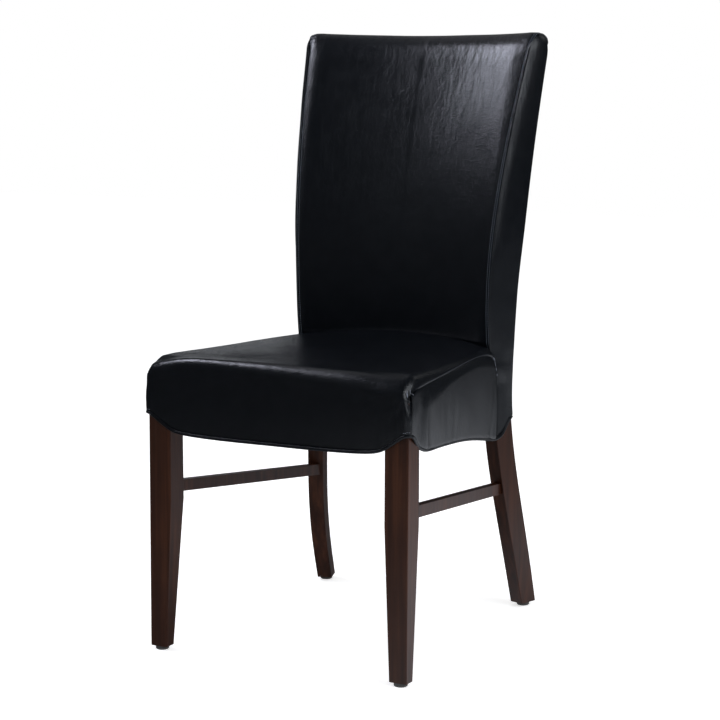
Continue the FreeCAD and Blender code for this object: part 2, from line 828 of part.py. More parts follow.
def seatForm(inside, low, rear):
    """Padded form of the seat, smaller by a distance inside its leather."""
    roll = seatRoll - inside
    rolled = []
    for degrees in (0, 25, 48, 69, 90):
        bend = math.radians(degrees)
        y = seatFront + seatRoll - roll * math.cos(bend)
        side = inside + (seatCorner - inside) * (1 - math.sin(bend))
        top = inside + roll * (1 - math.sin(bend))
        rolled.append(seatSection(y, side, top, low))
    flat = [seatSection(y, inside, inside, low) for y in steps(seatFront + seatRoll, rear, 7)[1:]]
    return joinedLofts(rolled, flat)


def sideZone(grow):
    """Block that takes in the side panel of the seat up to its seam."""
    outline = [(y - grow if index == 0 else y, z) for index, (y, z) in enumerate(sideSeam)]
    points = [onSidePlane(y, z + grow) for y, z in outline]
    points[-1] = onSidePlane(sideSeam[-1][0] + grow, sideSeam[-1][1])
    seam = Part.BSplineCurve()
    seam.interpolate(points)
    low = [onSidePlane(points[-1].y, skirtFloor), onSidePlane(points[0].y, skirtFloor)]
    edges = [seam.toShape(), Part.LineSegment(points[-1], low[0]).toShape(),
             Part.LineSegment(low[0], low[1]).toShape(), Part.LineSegment(low[1], points[0]).toShape()]
    return Part.Face(Part.Wire(edges)).extrude(outwards)


shell = seatForm(0.0, sheetLow, seatRear + coverTuck)
shell = shell.cut(seatForm(leather, sheetLow - leather, seatRear + spare))
backHeights = [innerCoverBottom - spare] + steps(innerCoverBottom, backTop - topRoll, 8)
backBody = loftOf([bandSection(z, -spare, thickness(z) + seatGap, -seatGap) for z in backHeights])
seatSide = shell.common(sideZone(0.0)).cut(sideTrim)
seatSide = max(seatSide.Solids, key=lambda solid: solid.Volume)
shapes["seat_side_panel_right"] = seatSide
shapes["seat_side_panel_left"] = mirrored(seatSide)
zone = sideZone(coverGap)
behindSideFrom = Vector(seatRearHalf - shoulderRadius, seatRear - coverEnd, railTop / 2)
behindSide = Part.makeBox(legSpread, backSeatY, railTop, behindSideFrom)
seatCover = shell.cut(zone).cut(mirrored(zone)).cut(backBody).cut(frontTrim)
seatCover = seatCover.cut(behindSide).cut(mirrored(behindSide))
shapes["seat_cover"] = max(seatCover.Solids, key=lambda solid: solid.Volume)

# Foam of the seat, on the webbing
foamBottom = railTop + strapThickness + weaveRise + coverGap
foam = seatForm(coverFit, sheetLow, seatRear + foamTuck)
underFoamFrom = Vector(-legSpread, seatFront - spare, sheetLow - spare)
underFoam = Part.makeBox(2 * legSpread, 2 * backSeatY, foamBottom - underFoamFrom.z, underFoamFrom)
foam = foam.cut(underFoam).cut(backBody)
shapes["seat_foam"] = max(foam.Solids, key=lambda solid: solid.Volume)

# Dust cover under the frame
frontCorner = Vector(sideRailX(clothInset), clothInset, railBottom)
rearCorner = Vector(sideRailX(rearRailEnd.y), rearRailEnd.y + clothTurn, railBottom)
sheet = [frontCorner, rearCorner]
sheet += [Vector(-corner.x, corner.y, corner.z) for corner in (rearCorner, frontCorner)]
cloth = Part.Face(polygon(sheet)).extrude(Vector(0, 0, -dustCoverThickness))
legNotchFrom = Vector(legX - clothCut, 0, railBottom - railHeight / 2)
legNotch = Part.makeBox(legSpread, frontLegDepth + clothCut, railHeight, legNotchFrom)
postReach = postDepth(railMiddle) / 2 + clothCut
postNotch = boxBetween(postAtRail.sub(inward * postReach), postAtRail.add(inward * (postReach + clothCut)),
                       postWidth(railMiddle) + 2 * clothCut, 2 * railHeight)
for notch in (legNotch, postNotch):
    cloth = cloth.cut(notch).cut(mirrored(notch))
shapes["dust_cover"] = cloth


# Piping along the edge of the skirt

def piping(points):
    edges = rounded(points)
    path = Part.Wire(edges)
    start = Part.Wire(Part.makeCircle(pipingRadius, points[0], points[1].sub(points[0])))
    tube = path.makePipeShell([start], True, False)
    plain = math.pi * pipingRadius ** 2 * path.Length
    radii = [edge.Curve.Radius for edge in edges if edge.Curve.TypeId == "Part::GeomCircle"]
    print("piping", round(path.Length), "mm long, least radius", round(min(radii), 1),
          "volume ratio", round(tube.Volume / plain, 4))
    return tube


def sideSurfaceX(y, z):
    """Middle of the leather at the bottom of the side skirt."""
    if y < seatRear:
        return seatHalf(y) - leather / 2
    corner = leatherCorner(z)
    seam = seatHalf(seatRear)
    share = (y - seatRear) / (corner.y - seatRear)
    return seam + (corner.x - seam) * share - leather / 2


# One length of piping round the whole skirt, its ends meeting in the middle of the rear
pipingDrop = pipingRadius + coverGap
frontRoute = [Vector(x, seatFront + leather / 2, z) for x, z in shifted(bothWays(frontEdge), pipingDrop)]
sideRoute = [Vector(sideSurfaceX(y, z), y, z) for y, z in shifted(sideEdge, pipingDrop)]
rearRoute = [onBack(z, x / leatherCorner(z).x, leather / 2) for x, z in shifted(rearEdge, pipingDrop)]
rearRoute[0].x = coverGap / 2
rightHalf = rearRoute + sideRoute[::-1]
leftHalf = [Vector(-point.x, point.y, point.z) for point in reversed(rightHalf)]
shapes["skirt_piping"] = piping(rightHalf + frontRoute[::-1] + leftHalf)

# Origin on the floor under the middle of the chair
whole = Part.makeCompound(list(shapes.values())).optimalBoundingBox(False, False)
toMiddle = Vector(-(whole.XMin + whole.XMax) / 2, -(whole.YMin + whole.YMax) / 2, -whole.ZMin)
print("size", round(whole.XLength, 1), round(whole.YLength, 1), round(whole.ZLength, 1), "shift", toMiddle)
for node, shape in shapes.items():
    shape.translate(toMiddle)
    print(node, len(shape.Solids), round(shape.Volume / 1000, 1), shape.isValid())
    shape.exportStep("parts/" + node + ".step")
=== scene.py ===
import bmesh
import bpy
import math
import numpy as np
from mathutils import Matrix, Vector
from mathutils.bvhtree import BVHTree


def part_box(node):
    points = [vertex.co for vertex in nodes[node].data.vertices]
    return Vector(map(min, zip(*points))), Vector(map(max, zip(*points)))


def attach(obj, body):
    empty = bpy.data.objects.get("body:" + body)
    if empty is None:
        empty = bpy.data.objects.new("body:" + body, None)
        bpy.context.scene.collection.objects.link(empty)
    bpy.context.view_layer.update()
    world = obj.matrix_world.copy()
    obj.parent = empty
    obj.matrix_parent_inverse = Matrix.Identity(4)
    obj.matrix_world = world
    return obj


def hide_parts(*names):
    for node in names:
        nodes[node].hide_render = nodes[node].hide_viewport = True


# Leather dining chair: black leather seat and curved back with a piped, scalloped skirt, on dark legs.
# Shapes are worked out in millimetres from the front of the front legs, then set in the frame in metres.

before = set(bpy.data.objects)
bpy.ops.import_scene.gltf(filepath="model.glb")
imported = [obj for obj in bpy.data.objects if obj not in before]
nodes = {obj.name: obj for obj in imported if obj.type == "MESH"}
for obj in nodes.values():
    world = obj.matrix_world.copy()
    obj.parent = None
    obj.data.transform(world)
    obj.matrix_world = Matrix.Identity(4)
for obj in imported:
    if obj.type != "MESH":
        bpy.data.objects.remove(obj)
scene = bpy.context.scene
scene.view_settings.view_transform = "Standard"
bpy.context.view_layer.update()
railSetback = 3.0
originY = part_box("front_rail")[0].y * 1000 - railSetback
leatherThickness = 1.8
hemDrop = 0.6  # how far a hem hangs below the edge line of its skirt
sides = (("left", -1), ("right", 1))
print("frame loaded,", len(nodes), "pieces")


# Small helpers

def smoothStep(value, low, high):
    share = np.clip((value - low) / (high - low), 0.0, 1.0)
    return share * share * (3 - 2 * share)


def nearEdge(distance, reach, power=2):
    # 1 on an edge, down to 0 at the reach
    return (1 - np.clip(distance / reach, 0, 1)) ** power


def bell(distance, width):
    return np.exp(-(distance / width) ** 2)


def blend(one, other, share):
    return one * (1 - share) + other * share


def through(points, place):
    # value on the polynomial through a few points
    total = 0.0
    for here, value in points:
        term = value
        for other, _ in points:
            if other != here:
                term = term * (place - other) / (here - other)
        total = total + term
    return total


def roundedLine(points, rounds=4):
    # corners cut again and again, which leaves one smooth line with the ends in place
    line = np.array(points, float)
    for _ in range(rounds):
        cut = np.empty((2 * len(line) - 2, line.shape[1]))
        cut[0::2] = line[:-1] * 0.75 + line[1:] * 0.25
        cut[1::2] = line[:-1] * 0.25 + line[1:] * 0.75
        line = np.vstack([line[:1], cut, line[-1:]])
    return line


def along(line, places):
    return np.interp(places, line[:, 0], line[:, 1])


def asPoints(x, y, z):
    return np.stack(np.broadcast_arrays(x, y, z), axis=-1)


def inMetres(points):
    placed = np.array(points, float).reshape(-1, 3)
    placed[:, 1] += originY
    return placed / 1000


def ripple(points, size, seed=0.0):
    # slow, uneven waves, different at every place and the same on every run
    p = np.asarray(points) / size
    x, y, z = p[..., 0] + seed, p[..., 1] + 2.3 * seed, p[..., 2] - 1.7 * seed
    wave = np.sin(5.1 * x + 2.6 * np.sin(2.3 * y + 1.1 * z))
    wave = wave + np.sin(4.3 * y + 2.2 * np.sin(2.9 * z + 1.7 * x))
    return (wave + np.sin(4.7 * z + 2.4 * np.sin(2.1 * x + 1.3 * y))) / 3


def gridFaces(rows, columns, first=0):
    return [(first + r * columns + c, first + r * columns + c + 1, first + (r + 1) * columns + c + 1,
             first + (r + 1) * columns + c) for r in range(rows - 1) for c in range(columns - 1)]


def ringFaces(rings, around, closed=False):
    # bands between rings of points, and one from the last ring to the first in a closed form
    faces = []
    for r in range(rings if closed else rings - 1):
        for c in range(around):
            s, d = (r + 1) % rings, (c + 1) % around
            faces.append((r * around + c, r * around + d, s * around + d, s * around + c))
    return faces


def addObject(name, data):
    made = bpy.data.objects.new(name, data)
    scene.collection.objects.link(made)
    return made


def makeMesh(name, points, faces, facing=None, sharp=50):
    # facing is the way a sheet looks; a closed form is turned outwards
    mesh = bpy.data.meshes.new(name)
    mesh.from_pydata(inMetres(points).tolist(), [], faces)
    mesh.validate()
    shell = bmesh.new()
    shell.from_mesh(mesh)
    if facing is None:
        bmesh.ops.recalc_face_normals(shell, faces=shell.faces)
    elif sum(face.normal.dot(Vector(facing)) * face.calc_area() for face in shell.faces) < 0:
        bmesh.ops.reverse_faces(shell, faces=shell.faces)
    shell.to_mesh(mesh)
    shell.free()
    mesh.shade_smooth()
    mesh.set_sharp_from_angle(angle=math.radians(sharp))
    return addObject(name, mesh)


def bake(piece):
    # modifiers are worked into a plain mesh
    mesh = bpy.data.meshes.new_from_object(piece.evaluated_get(bpy.context.evaluated_depsgraph_get()))
    piece.modifiers.clear()
    piece.data = mesh


def thicken(piece, amount):
    solid = piece.modifiers.new("leather", "SOLIDIFY")
    solid.thickness = amount / 1000
    solid.offset = -1
    solid.use_even_offset = True
    bake(piece)
    piece.data.set_sharp_from_angle(angle=math.radians(50))
    return piece


def sheetPiece(name, grids, facing, amount=leatherThickness):
    points, faces = [], []
    for grid in grids:
        faces += gridFaces(grid.shape[0], grid.shape[1], len(points))
        points += grid.reshape(-1, 3).tolist()
    return thicken(makeMesh(name, points, faces, facing), amount)


def padPiece(name, outside, inside):
    # closed form: outer leather, inner face, and a strip that joins their edges
    rows, columns = outside.shape[:2]
    around = 2 * columns
    faces = ringFaces(rows, around)
    for r in (0, rows - 1):
        for c in range(columns - 1):
            far = around - 1 - c
            faces.append((r * around + c, r * around + c + 1, r * around + far - 1, r * around + far))
    return makeMesh(name, np.concatenate([outside, inside[:, ::-1]], axis=1), faces)


def cubicShares(count, places):
    # how much each coarse point counts at each fine place, on a smooth curve through the coarse points
    base = np.clip(np.floor(places).astype(int), 0, count - 2)
    t = places - base
    shares = np.zeros((len(places), count))
    curves = (-0.5 * t ** 3 + t ** 2 - 0.5 * t, 1.5 * t ** 3 - 2.5 * t ** 2 + 1,
              -1.5 * t ** 3 + 2 * t ** 2 + 0.5 * t, 0.5 * t ** 3 - 0.5 * t ** 2)
    for step, curve in zip((-1, 0, 1, 2), curves):
        np.add.at(shares, (np.arange(len(places)), np.clip(base + step, 0, count - 1)), curve)
    return shares


def finer(coarse, rows, columns):
    # a field worked out on a coarse grid, carried over to a fine one
    down = cubicShares(coarse.shape[0], np.linspace(0, coarse.shape[0] - 1, rows))
    across = cubicShares(coarse.shape[1], np.linspace(0, coarse.shape[1] - 1, columns))
    return np.einsum("ri,ijk,cj->rck", down, coarse, across)


puffing = {"stiffness": 12.0, "pressure": 2.5, "cap": 6.0, "quality": 6, "mass": 0.3, "frames": 20}


def inflate(outside, inside, held, values):
    # the pad is blown up against its seams by a cloth simulation, and how far each point moves is capped
    rows, columns = outside.shape[:2]
    pad = padPiece("padInWork", outside, inside)
    group = pad.vertex_groups.new(name="held")
    around = 2 * columns
    for r in range(rows):
        for c in range(around):
            weight = float(held[r, c]) if c < columns else 1.0
            if weight > 0:
                group.add([r * around + c], weight, "REPLACE")
    before = np.array([v.co for v in pad.data.vertices])
    cloth = pad.modifiers.new("cloth", "CLOTH")
    cloth.settings.quality = values["quality"]
    cloth.settings.mass = values["mass"]
    cloth.settings.tension_stiffness = values["stiffness"]
    cloth.settings.compression_stiffness = values["stiffness"]
    cloth.settings.shear_stiffness = values["stiffness"] * 0.6
    cloth.settings.bending_stiffness = 1.0
    cloth.settings.use_pressure = True
    cloth.settings.uniform_pressure_force = values["pressure"]
    cloth.settings.vertex_group_mass = "held"
    cloth.settings.effector_weights.gravity = 0.0
    cloth.collision_settings.use_collision = False
    cloth.point_cache.frame_start = 1
    cloth.point_cache.frame_end = values["frames"]
    for number in range(values["frames"]):
        scene.frame_set(number + 1)
    evaluated = pad.evaluated_get(bpy.context.evaluated_depsgraph_get())
    after = np.array([v.co for v in evaluated.data.vertices])
    scene.frame_set(1)
    bpy.data.objects.remove(pad)
    moved = (after - before).reshape(rows, around, 3)[:, :columns] * 1000
    length = np.linalg.norm(moved, axis=2, keepdims=True)
    cap = values["cap"]
    print("  simulated, largest move %.1f mm, mean %.2f mm" % (length.max(), length.mean()))
    return moved * cap * np.tanh(length / cap) / np.maximum(length, 1e-6)


def puffedUp(surface, values):
    # the plain surface and its simulated puff, blurred a few times so that no sharp fold is left
    coarse = surface(values["coarseRows"], values["coarseColumns"], values)
    moved = inflate(*coarse[:3], puffing) * values["puff"]
    for _ in range(values["blurs"]):
        moved[:, 1:-1] = 0.25 * moved[:, :-2] + 0.5 * moved[:, 1:-1] + 0.25 * moved[:, 2:]
        moved[1:-1] = 0.25 * moved[:-2] + 0.5 * moved[1:-1] + 0.25 * moved[2:]
    outside, inside, _, fromSeam = surface(values["rows"], values["columns"], values)
    return outside + finer(moved, values["rows"], values["columns"]), inside, fromSeam


def outwardsFrom(grid, centre):
    # unit normals of a grid, on the side that looks away from the centre
    normal = np.cross(np.gradient(grid, axis=1), np.gradient(grid, axis=0))
    normal = normal / np.maximum(np.linalg.norm(normal, axis=2, keepdims=True), 1e-9)
    return -normal if np.sum(normal * (grid - np.array(centre, float))) < 0 else normal


# The padded back: part of a circle in plan, which widens, leans and swells at the lumbar while it rises

back = {"turn": math.radians(18.0), "foot": 470.0, "top": 1002.0, "halfWidth": 205.0, "flare": 23.5,
        "seatY": 465.5, "lean": 80.0, "leanPower": 1.8, "thickness": 61.0, "thinning": 18.0,
        "lumbarSwell": 20.5, "lumbarPlace": 0.83, "topRoll": 21.0, "rearRoll": 17.0, "topFall": 24.0,
        "crown": 3.2, "topDip": 5.0, "dipFade": 40, "innerBottom": 449.0, "centre": (0, 560, 720)}
post = {"cover": 2.1, "wadding": 2.5, "hock": 340.0, "footWidth": 26.5, "seatWidth": 30.0, "thinning": 10.0,
        "depths": [(6.5, 36.6), (220.0, 41.0), (470.0, 37.0)],
        "asideByHeight": [(6.5, 199.0), (220.0, 186.4), (340.0, 178.0)],
        "rearByHeight": [(6.5, 533.0), (220.0, 478.0), (340.0, 461.0)]}
sideways = np.array([math.cos(back["turn"]), -math.sin(back["turn"])])
behind = np.array([math.sin(back["turn"]), math.cos(back["turn"])])


def risen(z):
    return np.maximum(0.0, (z - back["foot"]) / (back["top"] - back["foot"]))


def postWidth(z):
    return post["footWidth"] + (post["seatWidth"] - post["footWidth"]) * np.minimum(1.0, z / back["foot"])


def postDepth(z):
    low = through(post["depths"], np.minimum(z, back["foot"]))
    return np.where(z > back["foot"], post["depths"][-1][1] - post["thinning"] * risen(z), low)


def fromPost(z):
    wadding = post["wadding"] * np.clip((z - post["hock"]) / (back["foot"] - post["hock"]), 0, 1)
    aside = postWidth(z) / 2 + post["cover"] + wadding
    rear = postDepth(z) / 2 + post["cover"]
    return sideways[0] * aside + behind[0] * rear, sideways[1] * aside + behind[1] * rear


def leatherCorner(z):
    # rear outer corner of the leather, above the seat and down along the leg
    z = np.asarray(z, float)
    lift = risen(z)
    seatX = back["halfWidth"] + back["flare"] * lift
    seatY = back["seatY"] + back["lean"] * lift ** back["leanPower"]
    footX, footY = fromPost(np.array(back["foot"]))
    lowX = through([*post["asideByHeight"], (back["foot"], back["halfWidth"] - footX)], z)
    lowY = through([*post["rearByHeight"], (back["foot"], back["seatY"] - footY)], z)
    asideX, asideY = fromPost(z)
    under = z < back["foot"]
    return np.where(under, lowX + asideX, seatX), np.where(under, lowY + asideY, seatY)


def thickness(z):
    lift = np.minimum(1.0, risen(z))
    swell = back["lumbarSwell"] * np.sin(np.pi * lift ** back["lumbarPlace"])
    return back["thickness"] - back["thinning"] * lift + swell


def onBack(z, side, depth, height=None):
    # side goes from -1 to 1 round the curve, and depth is measured forwards from the rear face
    x, y = leatherCorner(z)
    radius = x / math.sin(back["turn"])
    angle = side * back["turn"]
    reach = radius - depth
    return asPoints(reach * np.sin(angle), y - radius * math.cos(back["turn"]) + reach * np.cos(angle),
                    z if height is None else height)


def edgeDistance(z, side):
    return (1 - np.abs(side)) * leatherCorner(z)[0] / math.sin(back["turn"]) * back["turn"]


topThickness = float(thickness(back["top"]))


def crestPath():
    # over the top of the back and down behind: setback, height and share of the dip
    path = []
    crest, roll = back["top"] + back["crown"], back["topRoll"]
    for degrees in np.linspace(0, 90, 19):
        cosine, sine = math.cos(math.radians(degrees)), math.sin(math.radians(degrees))
        path.append((roll * (1 - cosine), crest - back["topFall"] * (1 - sine), sine))
    for degrees in np.linspace(90, 0, 16)[1:]:
        cosine, sine = math.cos(math.radians(degrees)), math.sin(math.radians(degrees))
        path.append((roll + (topThickness - roll) * cosine, crest - back["rearRoll"] * (1 - sine),
                     min(1.0, degrees / back["dipFade"])))
    return np.array(path)


backPad = {"rows": 221, "columns": 161, "coarseRows": 56, "coarseColumns": 41, "wrapEnd": 984.5,
           "strapGap": 2.6, "innerTop": 989.0, "innerSlope": 0.03, "innerWidth": 0.985,
           "rise": 6.5, "leftRise": 1.3, "rollPower": 2.5, "rightSlack": 0.5, "rightWidth": 1.35,
           "plane": 0.72, "seamTuck": 1.4, "footTuck": 6.0, "cornerRound": 15.0, "cornerPower": 2.2,
           "leftDrop": 7.5, "rightDrop": 5.2, "lip": 1.9, "lipPlace": 2.0, "lipWidth": 1.5, "lipOut": 2.4,
           "rollWidths": ([449, 480, 625, 785, 900, 950, 1002], [24, 23, 13, 22, 28, 32, 33]),
           "rises": ([449, 620, 760, 900, 1002], [0.9, 0.55, 0.7, 1.0, 1.0]),
           "puff": 0.06, "blurs": 4, "waviness": 0.4, "mottle": 0.10, "gathers": 0.7}


def cornerDrop(side):
    return np.where(side < 0, backPad["leftDrop"], backPad["rightDrop"])


def backSurface(rows, columns, values):
    # outer and inner face, how firmly each point is held, and its distance from the side seam
    front = np.linspace(back["innerBottom"], back["top"] + back["crown"] - back["topFall"], 60)[:-1]
    path = np.vstack([asPoints(0.0, front, 0.0), crestPath(), [(topThickness, values["wrapEnd"], 0.0)]])
    setback, z, dip = path.T
    foamRear = thickness(z) - postDepth(z) - values["strapGap"]
    rearMost = topThickness - leatherThickness
    innerBack = np.where(z < 985, np.where(setback > 20, rearMost, foamRear), np.maximum(setback, foamRear))
    innerZ = np.minimum(z, values["innerTop"] + values["innerSlope"] * (z - values["innerTop"]))
    length = np.concatenate([[0], np.cumsum(np.hypot(np.diff(setback), np.diff(z)))])
    places = np.linspace(0, length[-1], rows)
    setback, z, dip, innerBack, innerZ = [np.interp(places, length, column)[:, None] for column in
                                          (setback, z, dip, np.minimum(innerBack, rearMost), innerZ)]
    # columns lie closer together near the seams
    place = np.linspace(-1, 1, columns)
    side = (0.45 * place + 0.55 * np.sin(place * math.pi / 2))[None, :]
    fromEdge = edgeDistance(z, side)
    rollWidth = np.interp(z, *values["rollWidths"]) * np.where(side > 0, values["rightWidth"], 1.0)
    rollPower = np.where(side > 0, values["rollPower"] - values["rightSlack"], values["rollPower"])
    plateau = 1 - nearEdge(fromEdge, rollWidth, rollPower)
    topFade = 1 - smoothStep(z, 956, 1001) * 0.6
    rise = values["rise"] * np.interp(z, *values["rises"]) * np.where(side > 0, 1.0, values["leftRise"])
    forward = rise * (plateau * topFade - values["plane"]) - values["seamTuck"] * nearEdge(fromEdge, 6)
    forward = forward - values["footTuck"] * (1 - smoothStep(z, 462, 486))
    onTop = smoothStep(setback, 0, back["topRoll"] * 0.8)
    corner = nearEdge(fromEdge, values["cornerRound"], values["cornerPower"])
    height = z - back["topDip"] * dip * (1 - side ** 2) - smoothStep(z, 970, 1000) * cornerDrop(side) * corner
    # the cover's edge stands up in a thin lip along the seam
    lip = values["lip"] * bell(fromEdge - values["lipPlace"], values["lipWidth"]) * smoothStep(z, 466, 490)
    forward, height = forward + lip * (1 - onTop), height + lip * 0.6 * onTop
    outside = onBack(z, side, thickness(z) - setback + forward * (1 - onTop), height)
    outside[..., 0] += np.sign(side) * (values["lipOut"] * smoothStep(z, 560, 860) * bell(fromEdge, 4.5))
    inside = onBack(innerZ, side * values["innerWidth"], thickness(innerZ) - innerBack,
                    innerZ - back["topDip"] * np.where(innerZ > 980, dip, 0) * (1 - side ** 2))
    held = 1 - smoothStep(fromEdge, 2, 10) * smoothStep(z, 470, 500) * (1 - smoothStep(setback, 24, 38))
    return outside, inside, held, fromEdge


def makeBackPad(values):
    outside, inside, fromEdge = puffedUp(backSurface, values)
    normal = outwardsFrom(outside, back["centre"])
    free = smoothStep(fromEdge, 4, 40)[..., None]
    uneven = values["waviness"] * ripple(outside, 150, 0.4) + values["mottle"] * ripple(outside, 62, 7.4)
    outside = outside + normal * uneven[..., None] * free
    # small gathers that fan out from the top corners
    inwards, up = np.abs(outside[..., 0]) - leatherCorner(990.0)[0], outside[..., 2] - 996.0
    reach = np.linalg.norm(np.stack([inwards, up], axis=-1), axis=-1)
    fan = np.sin(np.arctan2(up, inwards) * 17 + reach * 0.12)
    strength = np.exp(-reach / 17) * smoothStep(reach, 1, 8) * values["gathers"]
    outside = outside + normal * (fan * strength)[..., None]
    pad = padPiece("back_inner_pad", outside, inside)
    print("back pad made,", len(pad.data.polygons), "faces")
    return pad, outside


# The padded seat, with the front roll and the front of the skirt in one sheet of leather

seat = {"half": 239.0, "rearHalf": 193.0, "taperPower": 1.25, "front": -7.0, "rear": 426.0,
        "frontHeight": 484.0, "middleHeight": 494.0, "rearHeight": 474.0, "crownDepth": 440.0,
        "corner": 8.0, "cornerSeam": 4.0, "seamRear": 409.0, "underside": 449.6, "backHeight": 476.0,
        "centre": (0, 220, 420)}
frontEdge = roundedLine([(0, 364.0), (62, 363.8), (124, 364.5), (172, 367.0), (192, 372.5), (212, 386.0),
                         (230, 398.5), (242, 398.5)])
sideEdge = roundedLine([(-8, 398.2), (2, 398.0), (20, 385.5), (42, 371.0), (72, 361.5), (130, 359.0),
                        (184, 354.5), (232, 350.0), (284, 343.0), (336, 334.0), (386, 324.0), (418, 317.5),
                        (437, 321.0), (451, 336.0), (465, 352.0), (478, 352.0)])
rearEdge = roundedLine([(0, 320.0), (60, 319.0), (118, 317.5), (148, 318.5), (165, 326.0), (179, 338.0),
                        (192, 351.5), (206, 352.0)])
sideSeam = roundedLine([(4, 458.0), (22, 462.0), (40, 465.0), (140, 469.0), (278, 473.5), (350, 471.0),
                        (392, 464.0), (410, 452.0), (421, 434.0), (427, 410.0)])
sideTop = np.array([(-7, 480.0), (30, 484.2), (60, 484.4), (95, 483.2), (136, 481.6), (180, 480.4),
                    (230, 479.4), (280, 478.6), (330, 477.4), (376, 476.0), (430, 474.0)])
frontTop = roundedLine([(-241, 463), (-232, 471), (-218, 477.5), (-196, 483), (-165, 488), (-120, 489.5),
                        (-60, 489), (0, 488), (70, 487), (140, 485), (190, 480), (218, 474), (232, 469),
                        (241, 463)])


def seatHalf(y):
    taper = np.clip((y - seat["front"]) / (seat["rear"] - seat["front"]), 0, None)
    return seat["half"] - (seat["half"] - seat["rearHalf"]) * taper ** seat["taperPower"]


def seatTop(x, y):
    depth = seat["crownDepth"]
    crown = [(0.0, seat["frontHeight"]), (depth * 0.45, seat["middleHeight"]), (depth, seat["rearHeight"])]
    middle = np.maximum(through(crown, y), 487.5 + 0.01 * y)
    flat = middle - (middle - along(sideTop, y)) * np.minimum(np.abs(x) / seatHalf(y), 1.0) ** 2
    return blend(flat, along(frontTop, x), 1 - smoothStep(y, seat["front"], 36))


def backFrontY(x):
    # where the front of the back stands on the seat
    cornerX, cornerY = leatherCorner(seat["backHeight"])
    radius = cornerX / math.sin(back["turn"])
    reach = radius - float(thickness(seat["backHeight"])) + 1.0
    return cornerY - radius * math.cos(back["turn"]) + np.sqrt(np.maximum(reach ** 2 - x ** 2, 1.0))


def frontFall(z):
    return np.clip((455 - z) / 95, 0, 1)


seatPad = {"rows": 197, "columns": 181, "coarseRows": 50, "coarseColumns": 46, "topShare": 0.76,
           "flatShare": 0.9, "lowerLean": 4.0, "belly": 1.6, "rearTuck": 7.0, "seamTuck": 0.8,
           "shoulder": 17.0, "leftShoulder": 4.5, "leftRoll": 13.0, "rightRoll": 25.0,
           "sideDepths": ([0, 60, 140, 278, 426], [19, 17, 13, 8, 9]), "flapReach": 26, "innerGap": 3.2,
           "puff": 0.15, "blurs": 2, "waviness": 0.4, "gathers": 0.55, "gatherReach": 20.0, "creases": 0.18,
           "fullness": 1.5, "fullX": 196, "fullZ": 461}


